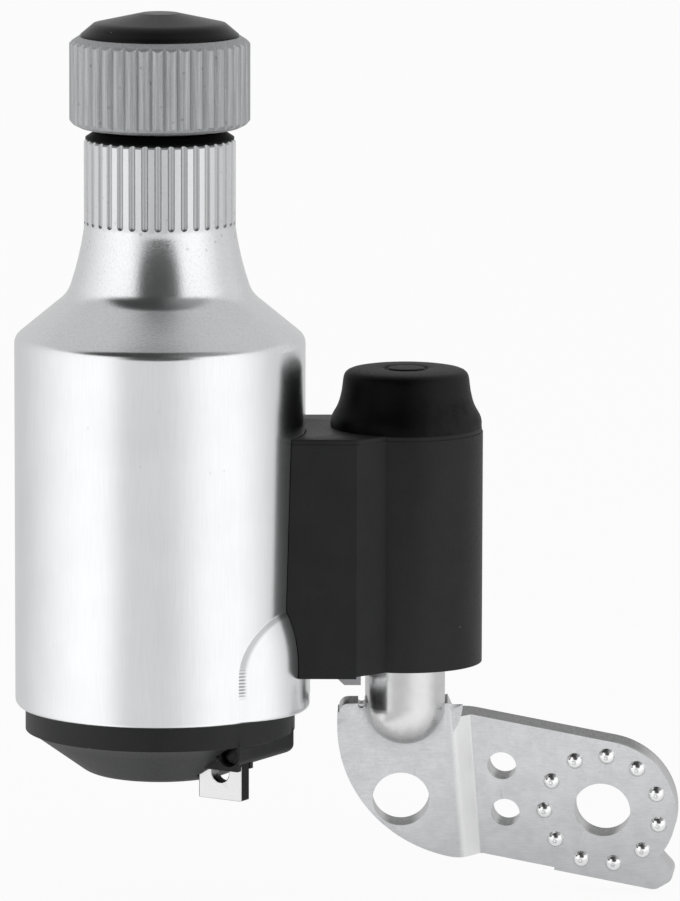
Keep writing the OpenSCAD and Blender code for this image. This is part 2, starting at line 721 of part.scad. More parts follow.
block_brow = 0.8;
mouth_d = 3.5;
mouth_depth = 0.5;
boss_wall = 1;
boss_drop = 0.6;
shell_gap = 0.5;
module bottom_cover() placed() color([0.07, 0.07, 0.07]) difference() {
  union() {
    difference() {
      rotate_extrude() cover_outline();
      rotate_extrude() cover_hollow();
    }
    intersection() {
      union() {
        at_block() translate([tab_out, 0, block_z]) intersection() {
          rotate([90, 0, 90]) linear_extrude(height = block_t) block_outline();
          translate([0, block_l / 2, 0]) rotate([90, 0, 0]) linear_extrude(height = block_l) block_section();
        }
        at_tab() translate([-tab_w / 2 - boss_wall, -tab_t / 2 - boss_wall, block_z - boss_drop])
          cube([tab_w + boss_wall, tab_t + 2 * boss_wall, shelf_z - block_z + boss_drop]);
      }
      cylinder(h = shell_z - shell_gap, r = body_r);
    }
  }
  at_block() translate([tunnel_x, -block_l / 2 - cut, block_z + tunnel_z])
    rotate([-90, 0, 0]) cylinder(h = block_l / 2 + cut + tunnel_end, d = tunnel_d, $fn = round_fn);
  at_block() translate([tunnel_x, mouth_depth - block_l / 2, block_z + tunnel_z])
    rotate([90, 0, 0]) cylinder(h = mouth_depth, d1 = tunnel_d, d2 = mouth_d, $fn = round_fn);
  at_block() translate([tunnel_x - strip_w / 2 - slip, tunnel_end - strip_t - 2 * slip, strip_foot])
    cube([strip_w + 2 * slip, strip_t + 2 * slip, spigot_top - strip_foot]);
  at_tab() translate([-tab_w / 2 - tab_clear, -tab_t / 2 - tab_clear, -tab_drop - cut])
    cube([tab_w + 2 * tab_clear, tab_t + 2 * tab_clear, tab_top + tab_travel + 2 * cut + tab_drop]);
  at_tab() translate([-tab_w / 2 - tab_clear, -tab_t / 2 - head_side - tab_clear, shelf_z])
    cube([head_l + 2 * tab_clear, tab_t + 2 * (head_side + tab_clear), spigot_top - shelf_z]);
}

// The tab hangs through its slot by a head that rests on the shelf round the slot
head_play = 0.05;
tab_top = shelf_z + head_play + head_t;
module wire_terminal() placed() color([0.86, 0.86, 0.87]) at_tab() difference() {
  union() {
    translate([-tab_w / 2, -tab_t / 2, -tab_drop]) cube([tab_w, tab_t, tab_top + tab_drop]);
    translate([-tab_w / 2, -tab_t / 2 - head_side, shelf_z + head_play])
      cube([head_l, tab_t + 2 * head_side, head_t]);
  }
  translate([0, 0, wire_hole_z]) rotate([90, 0, 0])
    cylinder(h = tab_t * 4, d = wire_hole_d, center = true, $fn = round_fn);
}

module terminal_spring() placed() color([0.70, 0.70, 0.72])
  at_tab() translate([head_mid, 0, terminal_spring_z])
    coil(spigot_top - terminal_spring_z - slip, tab_coil_d, tab_wire, fine_turns);

// Shaft with a flat under the roller's nut
flat_depth = 0.6;
module shaft() placed() color([0.72, 0.72, 0.74]) difference() {
  translate([0, 0, shaft_z]) cylinder(h = shaft_top - shaft_z, r = shaft_r);
  translate([shaft_r - flat_depth, -shaft_r, roller_top + run_gap]) cube([shaft_d, shaft_d, nut_h * 2]);
}

hub_over = 1;
module magnet_hub() placed() color([0.80, 0.68, 0.30])
  translate([0, 0, magnet_z - hub_over]) tube(magnet_l + 2 * hub_over, hub_d / 2, shaft_r);

module rotor_magnet() placed() color([0.20, 0.20, 0.21])
  translate([0, 0, magnet_z]) tube(magnet_l, magnet_r, hub_d / 2);

washer_t = 0.7;
module thrust_washer() placed() color([0.70, 0.70, 0.72])
  translate([0, 0, bore_top + throat_h - washer_t - slip * 2]) tube(washer_t, shaft_r * 1.8, shaft_r);

// Ribs are round-backed, so neighbours meet in sharp valleys
roller_edge = 1.1;
module roller_envelope() {
  roller_r = roller_d / 2;
  polygon([
    [0, 0],
    [neck_r - 2, 0],
    [neck_r - 1.3, roller_edge * 0.2],
    [roller_r - roller_edge * 1.25, roller_edge * 0.4],
    [roller_r - roller_edge * 0.45, roller_edge * 0.8],
    [roller_r + slip, roller_edge * 1.4],
    [roller_r + slip, roller_h - roller_edge],
    [roller_r - roller_edge * 0.35, roller_h - roller_edge * 0.55],
    [roller_r - roller_edge * 1.2, roller_h],
    [0, roller_h]
  ]);
}

module drive_roller() placed() color([0.58, 0.58, 0.60]) difference() {
  intersection() {
    translate([0, 0, roller_z]) linear_extrude(height = roller_h) {
      circle(r = roller_d / 2 - rib_r);
      for (i = [0 : rib_count - 1])
        rotate(i * 360 / rib_count) translate([roller_d / 2 - rib_r, 0]) circle(r = rib_r, $fn = 24);
    }
    translate([0, 0, roller_z]) rotate_extrude() roller_envelope();
  }
  translate([0, 0, roller_z - cut]) cylinder(h = roller_h + 2 * cut, r = shaft_r);
}

module roller_nut() placed() color([0.76, 0.76, 0.78]) translate([0, 0, roller_top]) difference() {
  cylinder(h = nut_h, d = nut_d, $fn = 6);
  translate([0, 0, -cut]) cylinder(h = nut_h + 2 * cut, r = shaft_r);
}

// Cap over the nut, with a flat top and a long bevel
cap_in = 1.55;
cap_foot = 0.25;
cap_bevel = 1.75;
cap_flat_r = 2.6;
module roller_cap() placed() color([0.10, 0.10, 0.11]) translate([0, 0, roller_top]) rotate_extrude()
  difference() {
    polygon([
      [0, 0],
      [roller_d / 2 - cap_in, 0],
      [roller_d / 2 - cap_in, cap_foot],
      [roller_d / 2 - cap_in - cap_bevel, cap_h * 0.54],
      [cap_flat_r, cap_h],
      [0, cap_h]
    ]);
    translate([-cut, -cut]) square([cut + nut_d / 2 + 4 * slip, cut + nut_h + 5 * slip]);
    translate([-cut, nut_h]) square([cut + shaft_r + 4 * slip, shaft_past_nut + 3 * slip]);
  }

// Hinge arm: a saddle on the bottle, a web and two eyes for the pin
seat_gap = 0.05;
rivet_head_t = 0.7;
saddle_r = body_r + seat_gap;
saddle_z = shell_z + bulge_h + slip;
module rivet_places() {
  for (z = [hood_z + rivet_low, hood_z + rivet_low + rivet_pitch])
    for (side = [-1, 1])
      rotate([0, 0, saddle_turn + side * rivet_spread])
        translate([body_r, 0, z]) rotate([0, 90, 0]) children();
}

module rivet_holes() rivet_places()
  cylinder(h = 4 * (saddle_t + shell_wall), r = rivet_r, center = true, $fn = round_fn);

// Rivets have a head inside the shell and a head that sits in a spot face on the saddle
spot_depth = 0.2;
module arm_rivets() placed() color([0.70, 0.70, 0.71]) rivet_places() {
  translate([0, 0, -shell_wall - spot_depth])
    cylinder(h = shell_wall + saddle_t + spot_depth, r = rivet_r, $fn = round_fn);
  translate([0, 0, -shell_wall - rivet_head_t - spot_depth])
    cylinder(h = rivet_head_t, r = rivet_head_r, $fn = round_fn);
  translate([0, 0, saddle_t - spot_depth])
    cylinder(h = rivet_head_t + spot_depth, r = rivet_head_r, $fn = round_fn);
}

lip_wide = web_t + 5;
lip_out = 3.8;
flank = 1;
spring_room = swing_coil_d / 2 + swing_wire;
lip_slant = 1.7;
module lip_outline() {
  lip_l = pivot_gap - lip_out - pin_r - 2 * run_gap;
  lip_h = lip_drop + eye_gap + flank;
  polygon([[0, lip_h], [0, lip_drop * 0.7], [lip_slant, 0], [lip_l, 0], [lip_l, lip_h]]);
}

module hinge_arm() placed() color([0.42, 0.42, 0.44]) difference() {
  union() {
    translate([0, 0, saddle_z])
      ring_sector(roof_z - saddle_z - cut, saddle_r + saddle_t, saddle_r, saddle_turn, saddle_width);
    translate([saddle_r, pivot_y - web_t / 2, lower_eye_z])
      cube([pivot_x - saddle_r - spring_room, web_t, upper_eye_top - lower_eye_z]);
    on_pivot(lower_eye_z) cylinder(h = eye_t, r = eye_r);
    on_pivot(upper_eye_z) cylinder(h = upper_eye_t, r = eye_r);
    translate([saddle_r, pivot_y - web_t / 2 - flank, lower_eye_z])
      cube([pivot_x - saddle_r - pin_r, web_t + 2 * flank, eye_t]);
    translate([saddle_r, pivot_y - web_t / 2 - flank, upper_eye_z])
      cube([pivot_x - saddle_r - pin_r, web_t + 2 * flank, upper_eye_t]);
    translate([body_r + lip_out, pivot_y - web_t - 3 + lip_wide, hood_z - lip_drop])
      rotate([90, 0, 0]) linear_extrude(height = lip_wide) lip_outline();
  }
  bottle_outside(seat_gap);
  on_pivot(hood_z - lip_drop - cut) cylinder(h = lip_drop + eye_gap + eye_t + 2 * cut, r = pin_bush_r);
  on_pivot(upper_eye_z - cut) cylinder(h = upper_eye_t + 2 * cut, r = post_bush_r);
  rivet_holes();
  rivet_places() translate([0, 0, saddle_t - spot_depth]) cylinder(h = cut, r = rivet_head_r, $fn = round_fn);
  on_pivot(lower_eye_z + eye_t)
    cylinder(h = upper_eye_z - lower_eye_z - eye_t, r = spring_room);
  at_spring_tail() cylinder(h = tail_h + 2 * cut, r = swing_wire / 2 + seat_gap, $fn = round_fn);
}

module lower_bush() placed() color([0.66, 0.50, 0.30])
  on_pivot(lower_eye_z) tube(eye_t, pin_bush_r, pin_r + pin_clear);

module upper_bush() placed() color([0.66, 0.50, 0.30])
  on_pivot(upper_eye_z) tube(upper_eye_t, post_bush_r, post_r + pin_clear);

// The swing spring's lower tail runs in a slot in the post, its upper tail stands in the upper eye
tail_h = 2.4;
spring_turn = 180;
tail_in = 1.4;
module at_spring_tail()
  on_pivot(upper_eye_z - swing_wire / 2)
    rotate([0, 0, spring_turn]) translate([swing_coil_d / 2, 0, 0]) children();

module swing_spring() placed() color([0.60, 0.60, 0.62]) {
  on_pivot(swing_spring_z) rotate([0, 0, spring_turn]) {
    coil(swing_spring_h, swing_coil_d, swing_wire, swing_turns);
    translate([post_r - tail_in, 0, swing_wire / 2])
      rotate([0, 90, 0]) cylinder(h = swing_coil_d / 2 - post_r + tail_in, r = swing_wire / 2, $fn = 12);
  }
  at_spring_tail() translate([0, 0, -swing_wire / 2]) cylinder(h = tail_h, r = swing_wire / 2, $fn = 12);
}

// Plan of the hinge cover, drawn in by some wall
module hood_plan(inset = 0) {
  face_end = pivot_x - face_back;
  past = 3;
  bevel_end = face_end + bevel_run;
  translate([pivot_x, pivot_y]) circle(r = barrel_r - inset);
  polygon([
    [body_r * 0.6, pivot_y + barrel_r - inset - 0.7],
    [body_r * 0.6, -hood_front - past + inset],
    [face_end - inset * 0.4, -hood_front - past + inset],
    [face_end - inset * 0.4, -hood_front + inset],
    [bevel_end, pivot_y - sqrt(pow(barrel_r, 2) - pow(pivot_x - bevel_end, 2)) + inset],
    [pivot_x, pivot_y],
    [pivot_x, pivot_y + barrel_r - inset]
  ]);
}

// Draft plane of the front face, which leans out towards its foot
module front_cut(inset = 0) {
  translate([0, -hood_front + inset, hood_top])
    rotate([-hood_draft, 0, 0])
      translate([-body_d, -body_r, -hood_h * 2]) cube([body_d * 3, body_r, hood_h * 3]);
}

module hinge_cover() placed() color([0.09, 0.09, 0.09]) difference() {
  translate([0, 0, hood_z]) linear_extrude(height = hood_h) hood_plan();
  front_cut();
  difference() {
    translate([0, 0, hood_z - cut]) linear_extrude(height = roof_z - hood_z + cut) hood_plan(hood_wall);
    front_cut(hood_wall);
  }
  bottle_outside(seat_gap);
  on_pivot(roof_z - cut) cylinder(h = roof_t + 2 * cut, r = stem_d / 2 + stem_clear);
}

// Rubber boot: a flange over the cover's roof and a dome with a shallow dish over the button
dome_in = 3.65;
dome_round = 1.5;
dome_rise = 0.35;
boot_dish_r = 2.5;
boot_dish = 0.35;
foot_r = barrel_r - 0.15;

// Steps in and up of the boot's hollowed flank, from the flange
boot_flank = [[0, 0], [0.1, 0.8], [0.45, 1.9], [0.9, 3], [1.3, 4.4]];
module boot_outline() {
  polygon(concat(
    [[0, 0], [foot_r, 0]],
    [for (step = boot_flank) [foot_r - step[0], boot_flange + step[1]]],
    arc([barrel_r - dome_in, boot_h - dome_round - dome_rise], dome_round, 0, 80, 16),
    [[boot_dish_r, boot_h], [boot_dish_r - 0.4, boot_h - boot_dish], [0, boot_h - boot_dish]]
  ));
}

module boot_hollow() {
  inside_r = foot_r - boot_wall;
  roof = boot_h - boot_wall - boot_dish;
  polygon(concat(
    [[0, -cut], [inside_r, -cut]],
    [for (step = boot_flank) [inside_r - step[0], boot_flange + step[1]]],
    [[inside_r - 2.1, roof], [0, roof]]
  ));
}

module button_boot() placed() color([0.04, 0.04, 0.04]) difference() {
  union() {
    on_pivot(hood_top) rotate_extrude() boot_outline();
    translate([0, 0, hood_top]) linear_extrude(height = boot_flange) hood_plan(0.15);
  }
  on_pivot(hood_top) rotate_extrude() boot_hollow();
  front_cut(0.15);
  translate([0, 0, hood_top - cut]) cylinder(h = boot_flange + 2 * cut, r = body_r + seat_gap);
}

button_head_z = hood_top + button_travel + 0.15;
button_head_top = hood_top + boot_h - boot_wall - 0.5;
stem_bore_r = fine_coil_d / 2 + fine_wire / 2 + 0.35;
stem_step = 0.6;
head_roof = 1.2;
module release_button() placed() color([0.14, 0.14, 0.15]) on_pivot() difference() {
  union() {
    translate([0, 0, button_head_z]) cylinder(h = button_head_top - button_head_z, d = button_head_d);
    translate([0, 0, yoke_z + yoke_t]) cylinder(h = button_head_z - yoke_z - yoke_t + cut, d = stem_d);
    translate([0, 0, yoke_z]) cylinder(h = yoke_t + cut, r = stem_d / 2 - stem_step);
  }
  translate([0, 0, yoke_z - cut]) cylinder(h = button_head_top - yoke_z - head_roof + cut, r = stem_bore_r);
}

// Yoke on the button's stem, with a finger that reaches down past the collar to the dog under it
module latch_dog() placed() color([0.62, 0.62, 0.64]) on_pivot() {
  translate([0, 0, yoke_z]) tube(yoke_t, finger_out_r, stem_d / 2 - stem_step);
  translate([0, 0, dog_z]) {
    ring_sector(yoke_z + yoke_t - dog_z, finger_out_r, finger_in_r, latch_turn, dog_angle);
    ring_sector(dog_t, finger_out_r, dog_in_r, latch_turn, dog_angle);
  }
}

module button_spring() placed() color([0.70, 0.70, 0.72])
  on_pivot(post_top + slip)
    coil(button_head_top - head_roof - post_top - 2 * slip, fine_coil_d, fine_wire, fine_turns);

// Fixed pieces on the bracket
slot_side = asin((swing_wire / 2 + slip) / (post_r - tail_in));
module pivot_pin() placed() color([0.74, 0.74, 0.76]) difference() {
  union() {
    translate(pin_foot) sphere(r = pin_r);
    translate(pin_foot) cylinder(h = pin_top - foot_z, r = pin_r);
    on_pivot(foot_z) cylinder(h = post_top - foot_z, r = post_r);
  }
  on_pivot(collar_top) tube(clip_t, post_r + cut, post_r - groove_depth);
  on_pivot(swing_spring_z - slip)
    ring_sector(
      swing_wire + 2 * slip, post_r + cut, post_r - tail_in - slip * 2,
      spring_turn - swing_angle / 2, swing_angle + 2 * slot_side
    );
}

// The dog drops into the notch when the bottle is swung back by the swing angle
module latch_collar() placed() color([0.60, 0.60, 0.62]) on_pivot(collar_z) difference() {
  tube(collar_t, collar_d / 2, post_r);
  translate([0, 0, -cut])
    ring_sector(notch_depth + cut, collar_d, post_r + 1.2, latch_turn - swing_angle, dog_angle + 3);
}

clip_gap = 2.4;
module pin_clip() placed() color([0.66, 0.66, 0.68]) on_pivot(collar_top) difference() {
  tube(clip_t, post_r + 1.5, post_r - groove_depth);
  translate([0, -clip_gap / 2, -cut]) cube([post_r + 3, clip_gap, clip_t + 2 * cut]);
}

// Frames of the bracket: the inner plate's, the folds' and the outer plate's.
// In each, X runs along the plate, Y goes into its thickness and Z is up along it.
module in_plate() translate(pin_foot) rotate([plate_tilt, 0, 0]) children();
module in_folds() in_plate() rotate([0, -fold_lean, 0]) children();
module in_outer() in_folds() translate([fold_far_x, joggle, 0]) rotate([0, 0, -plate_yaw]) children();
module at_bolt() in_outer() translate([bolt_run, 0, -bolt_drop]) children();

// Section of the bent sheet, seen from above: two folds with true inner and outer radii
fold_turn = joggle_angle + plate_yaw;
near_centre = [fold_x - bend_out_r * tan(joggle_angle / 2), bend_out_r];
far_corner = [fold_far_x, joggle];
far_along = [cos(plate_yaw), -sin(plate_yaw)];
far_back = [sin(plate_yaw), cos(plate_yaw)];
far_centre = far_corner + fold_r * tan(fold_turn / 2) * far_along - fold_r * far_back;
sheet_reach = bolt_run + lobe_r;
module sheet_section() {
  polygon(concat(
    [[-sheet_reach, 0]],
    arc(near_centre, bend_out_r, -90, -90 + joggle_angle),
    arc(far_centre, fold_r, 90 + joggle_angle, 90 - plate_yaw),
    [far_corner + sheet_reach * far_along, far_corner + sheet_reach * far_along + plate_t * far_back],
    arc(far_centre, bend_out_r, 90 - plate_yaw, 90 + joggle_angle),
    arc(near_centre, fold_r, -90 + joggle_angle, -90),
    [[-sheet_reach, plate_t]]
  ));
}

module bent_sheet() in_folds() translate([0, 0, -sheet_reach])
  linear_extrude(height = sheet_reach + end_r) sheet_section();

// A flat outline in a plate's plane becomes a block through the sheet
module through_sheet()
  translate([0, lobe_r, 0]) rotate([90, 0, 0]) linear_extrude(height = lobe_r * 2) children();

// A round hole through a plate
module plate_hole(d) translate([0, -2 * cut, 0]) rotate([-90, 0, 0]) cylinder(h = plate_t + 4 * cut, d = d);

// Outline of the inner plate: a big round edge, cut square at the top
lobe_corner_r = 1.3;
lobe_side = lobe_x - sqrt(pow(lobe_r, 2) - pow(lobe_drop, 2));
ear_drop = 2.6;
module lobe_outline() {
  difference() {
    intersection() {
      translate([lobe_x, -lobe_drop]) circle(r = lobe_r, $fn = 160);
      polygon([
        [-lobe_r, 0],
        [fold_x + 0.1, 0],
        [fold_x + 1.1, -ear_drop],
        [fold_far_x + 2.5, -ear_drop - 0.8],
        [fold_far_x + 2.5, -2 * lobe_r],
        [-lobe_r, -2 * lobe_r]
      ]);
    }
    difference() {
      translate([lobe_side - cut, -lobe_corner_r]) square([lobe_corner_r + cut, lobe_corner_r + cut]);
      translate([lobe_side + lobe_corner_r, -lobe_corner_r]) circle(r = lobe_corner_r, $fn = 48);
    }
    translate([-pin_r - relief_r, -relief_r * 0.4]) circle(r = relief_r, $fn = round_fn);
  }
}

// Outline of the outer plate, round the bolt hole: a strip with a round end and a small lug
relief_r = 0.5;
lug_r = 1.6;
notch_turn = 30;
strip_step = 0.4;
module strip_outline() {
  intersection() {
    translate([-bolt_run - 3, -sheet_reach]) square(2 * sheet_reach);
    rotate(-strip_fall) {
      circle(r = end_r, $fn = 120);
      translate([-sheet_reach, -end_r + strip_step]) square([sheet_reach, 2 * end_r - strip_step]);
      translate([-end_r / 2, -end_r]) square([end_r / 2, end_r]);
      polygon(concat(
        [[0, 0], [0, -end_r]],
        arc([end_r - lug_r - 0.2, -end_r + lug_r], lug_r, -90, -50, 10),
        arc([end_r - lug_r + 0.9, -end_r + lug_r + 1], lug_r, -50, 45, 10),
        [end_r * [cos(notch_turn), -sin(notch_turn)]]
      ));
    }
  }
}

// The sheet is drawn back round the pin's foot into a round cradle
cradle_r = pin_r + plate_t * 0.85;
cradle_fall = 12;
module cradle() intersection() {
  translate(pin_foot) sphere(r = cradle_r);
  in_plate() translate([-cradle_r, plate_t / 6, -cradle_r]) cube([2 * cradle_r, cradle_r, cradle_r]);
  translate(pin_foot) rotate([-cradle_fall, 0, 0])
    translate([-cradle_r, -cradle_r, -2 * cradle_r]) cube([2 * cradle_r, 3 * cradle_r, 2 * cradle_r]);
}

// Cap of a ball, with radius r at its foot and height h
module dimple(r, h) {
  ball = (r * r + h * h) / (2 * h);
  rotate([90, 0, 0]) translate([0, 0, h - ball]) sphere(r = ball, $fn = 48);
}

dimple_turn = 114.2;
dimple_wall = 0.2;
module dimple_ring() {
  for (i = [0 : dimple_count - 1])
    rotate([0, -(dimple_turn + i * 360 / dimple_count), 0]) translate([dimple_ring_r, 0, 0]) children();
}

module dish() mirror([0, 1, 0]) dimple(dish_r, dish_depth, $fn = $fn);

module bracket_plate() placed() color([0.66, 0.67, 0.69]) difference() {
  union() {
    intersection() {
      bent_sheet();
      in_plate() through_sheet() lobe_outline();
    }
    intersection() {
      bent_sheet();
      at_bolt() through_sheet() strip_outline();
    }
    cradle();
    at_bolt() intersection() {
      dimple_ring() dimple(dimple_d / 2, dimple_h);
      translate([-end_r, -dimple_h * 2, -end_r]) cube([2 * end_r, dimple_h * 2 + plate_t / 2, 2 * end_r]);
    }
  }
  translate(pin_foot) sphere(r = pin_r + push_clear / 3);
  translate(pin_foot) cylinder(h = pin_d, r = pin_r + push_clear / 3);
  in_plate() dish();
  in_plate() translate([-lobe_hole_x, 0, -lobe_hole_drop]) plate_hole(bolt_d);
  at_bolt() plate_hole(bolt_d);
  for (z = [-small_hole_low, small_hole_pitch - small_hole_low])
    at_bolt() translate([-small_hole_back, 0, z]) plate_hole(small_hole_d);
  at_bolt() translate([0, plate_t, 0]) dimple_ring()
    dimple(dimple_d / 2 - dimple_wall, dimple_h - dimple_wall / 2);
}

bracket_plate();
pivot_pin();
latch_collar();
pin_clip();
body_shell();
neck_bearing();
neck_seal();
stator_spacer();
claw_plate_upper();
claw_plate_lower();
stator_ring();
coil_bobbin();
coil_winding();
bearing_plate();
lower_bearing();
contact_strip();
bottom_cover();
hinge_arm();
arm_rivets();
lower_bush();
upper_bush();
swing_spring();
hinge_cover();
button_boot();
shaft();
magnet_hub();
rotor_magnet();
thrust_washer();
drive_roller();
roller_nut();
roller_cap();
release_button();
latch_dog();
button_spring();
wire_terminal();
terminal_spring();
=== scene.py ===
# Looks of the bottle dynamo: finishes, fine forms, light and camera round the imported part.
# Metres, in the part's own frame: +Z up along the bottle, -Y towards the camera.
import json
import math

import bmesh
import bpy
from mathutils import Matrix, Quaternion, Vector


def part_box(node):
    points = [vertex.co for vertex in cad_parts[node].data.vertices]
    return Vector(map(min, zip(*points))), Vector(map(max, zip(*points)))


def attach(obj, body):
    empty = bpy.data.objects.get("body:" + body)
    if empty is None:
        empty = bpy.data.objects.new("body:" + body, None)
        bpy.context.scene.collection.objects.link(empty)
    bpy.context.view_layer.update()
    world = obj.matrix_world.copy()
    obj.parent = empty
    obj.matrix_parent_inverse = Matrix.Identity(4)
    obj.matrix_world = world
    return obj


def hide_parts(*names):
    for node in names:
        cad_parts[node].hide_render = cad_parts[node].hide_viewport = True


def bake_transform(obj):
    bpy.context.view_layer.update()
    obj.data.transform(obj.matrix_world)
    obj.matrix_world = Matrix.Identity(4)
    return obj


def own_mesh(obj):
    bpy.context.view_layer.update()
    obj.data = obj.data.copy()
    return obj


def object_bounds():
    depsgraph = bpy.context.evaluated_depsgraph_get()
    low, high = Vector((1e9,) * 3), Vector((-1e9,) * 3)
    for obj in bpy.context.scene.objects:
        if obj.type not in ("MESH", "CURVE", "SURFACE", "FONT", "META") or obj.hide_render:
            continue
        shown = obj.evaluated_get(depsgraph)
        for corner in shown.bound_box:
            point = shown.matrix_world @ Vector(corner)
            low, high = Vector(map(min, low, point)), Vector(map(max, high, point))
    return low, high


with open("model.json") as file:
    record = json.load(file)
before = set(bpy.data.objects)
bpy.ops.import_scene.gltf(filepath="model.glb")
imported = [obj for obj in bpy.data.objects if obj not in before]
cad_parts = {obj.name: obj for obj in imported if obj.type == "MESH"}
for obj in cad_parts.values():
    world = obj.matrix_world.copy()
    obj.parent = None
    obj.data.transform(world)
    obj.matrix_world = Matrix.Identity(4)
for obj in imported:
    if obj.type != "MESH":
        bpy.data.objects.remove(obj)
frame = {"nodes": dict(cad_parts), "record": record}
CAD_BOX = [list(corner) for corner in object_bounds()]
NODES = frame["nodes"]
MM = 0.001
DEG = math.radians(1)
# Vertices of a CAD mesh that lie closer than this are one
WELD_GAP = 0.002 * MM


def middle(node):
    """Middle of a CAD node's box."""
    low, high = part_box(node)
    return (low + high) / 2


def top_of(node):
    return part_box(node)[1].z


def foot_of(node):
    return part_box(node)[0].z


BOTTLE = middle("drive_roller")
PIN = middle("pivot_pin")
# The way that the bracket's dimpled wing faces
WING_WAY = (-0.1525, -0.9678, -0.2003)
# Middle of the hole in the terminal's tab, and the tab's turn about +Z
TAB_HOLE = Vector((-0.05317, -0.0209, 0.00887))
TAB_TURN = -31.5 * DEG


class Shader:
    """A node tree under construction, with short ways to add and join nodes."""

    def __init__(self, tree):
        self.tree = tree
        self.nodes = tree.nodes
        self.nodes.clear()

    def add(self, kind, inputs=None, **settings):
        node = self.nodes.new(kind)
        for key, value in settings.items():
            setattr(node, key, value)
        for key, value in (inputs or {}).items():
            if isinstance(value, bpy.types.NodeSocket):
                self.tree.links.new(value, node.inputs[key])
            else:
                node.inputs[key].default_value = value
        return node

    def math(self, operation, a, b=0.0):
        return self.add("ShaderNodeMath", {0: a, 1: b}, operation=operation).outputs[0]

    def times(self, *values):
        result = values[0]
        for value in values[1:]:
            result = self.math("MULTIPLY", result, value)
        return result

    def length(self, a, b):
        """Length of a flat vector from its two numbers."""
        return self.math("SQRT", self.math("ADD", self.times(a, a), self.times(b, b)))

    def ramp(self, value, low, high, to_low=0.0, to_high=1.0):
        """Maps value from low..high to to_low..to_high, smoothly and clamped."""
        limits = {"From Min": low, "From Max": high, "To Min": to_low, "To Max": to_high}
        node = self.add(
            "ShaderNodeMapRange", {"Value": value, **limits}, interpolation_type="SMOOTHSTEP"
        )
        return node.outputs["Result"]

    def band(self, value, start, full, fade, end):
        """Rises from 0 at start to 1 at full, and falls from 1 at fade to 0 at end."""
        return self.times(self.ramp(value, start, full), self.ramp(value, fade, end, 1.0, 0.0))

    def mix(self, factor, a, b):
        """Colour a where the factor is 0, colour b where it is 1."""
        node = self.add("ShaderNodeMix", {0: factor, 6: a, 7: b}, data_type="RGBA")
        return node.outputs[2]

    def between(self, factor, a, b):
        """Number a where the factor is 0, number b where it is 1."""
        return self.add("ShaderNodeMix", {0: factor, 2: a, 3: b}).outputs[0]

    def choose(self, factor, a, b):
        """A node that gives shader a where the factor is 0, shader b where it is 1."""
        return self.add("ShaderNodeMixShader", {0: factor, 1: a.outputs[0], 2: b.outputs[0]})

    def place(self, stretch=(1.0, 1.0, 1.0), shift=(0.0, 0.0, 0.0)):
        """Object coordinates in millimetres, stretched and shifted."""
        spot = self.add("ShaderNodeTexCoord").outputs["Object"]
        scale = [s / MM for s in stretch]
        inputs = {"Vector": spot, "Scale": scale, "Location": shift}
        return self.add("ShaderNodeMapping", inputs).outputs[0]

    def split(self, vector):
        """The three numbers of a vector."""
        return self.add("ShaderNodeSeparateXYZ", {0: vector}).outputs

    def away_from(self, centre):
        """Distance in millimetres from the upright line through a point."""
        spot = self.split(self.place(shift=(-centre.x / MM, -centre.y / MM, 0.0)))
        return self.length(spot[0], spot[1])

    def height(self, base):
        """Height in millimetres above a level that is given in metres."""
        return self.math("SUBTRACT", self.split(self.place())[2], base / MM)

    def facing(self, axis):
        """How squarely the surface faces along an axis of the part, from 0 to 1."""
        normal = self.split(self.add("ShaderNodeNewGeometry").outputs["Normal"])
        return self.math("ABSOLUTE", normal[axis])

    def towards(self, way):
        """How squarely the surface faces one way: 1 when straight along it."""
        normal = self.add("ShaderNodeNewGeometry").outputs["Normal"]
        node = self.add("ShaderNodeVectorMath", {0: normal, 1: way}, operation="DOT_PRODUCT")
        return node.outputs["Value"]

    def noise(self, vector, scale, detail=3.0, roughness=0.5):
        node = self.add(
            "ShaderNodeTexNoise",
            {"Vector": vector, "Scale": scale, "Detail": detail, "Roughness": roughness},
        )
        return node.outputs["Fac"]

    def waves(self, vector, scale, distortion):
        """Level bands, one above the other."""
        inputs = {"Vector": vector, "Scale": scale, "Distortion": distortion}
        return self.add("ShaderNodeTexWave", inputs, bands_direction="Z").outputs["Fac"]

    def specks(self, vector, scale, size, share):
        """Small round spots: 1 inside a spot, 0 elsewhere, in that share of the pattern's cells."""
        cells = self.add("ShaderNodeTexVoronoi", {"Vector": vector, "Scale": scale}, feature="F1")
        dice = self.add("ShaderNodeSeparateColor", {"Color": cells.outputs["Color"]}).outputs[0]
        picked = self.math("GREATER_THAN", dice, 1.0 - share)
        return self.times(picked, self.ramp(cells.outputs["Distance"], size * 0.4, size, 1.0, 0.0))

    def bump(self, height, depth_mm, strength=1.0, below=None):
        inputs = {"Height": height, "Distance": depth_mm * MM, "Strength": strength}
        if below is not None:
            inputs["Normal"] = below
        return self.add("ShaderNodeBump", inputs).outputs[0]


def material(name, metallic=0.0, **sockets):
    """A new material with its principled shader. Sockets sets values that are the same all over."""
    mat = bpy.data.materials.new(name)
    mat.use_nodes = True
    shader = Shader(mat.node_tree)
    surface = shader.add("ShaderNodeBsdfPrincipled", {"Metallic": metallic})
    for key, value in sockets.items():
        surface.inputs[key.replace("_", " ")].default_value = value
    out = shader.add("ShaderNodeOutputMaterial")
    shader.tree.links.new(surface.outputs[0], out.inputs["Surface"])
    return mat, shader, surface


def join(shader, value, surface, socket):
    shader.tree.links.new(value, surface.inputs[socket])


def grey(value, tint=0.0):
    """A grey, a little bluer with a positive tint."""
    return (value * (1 - tint), value, value * (1 + tint), 1.0)


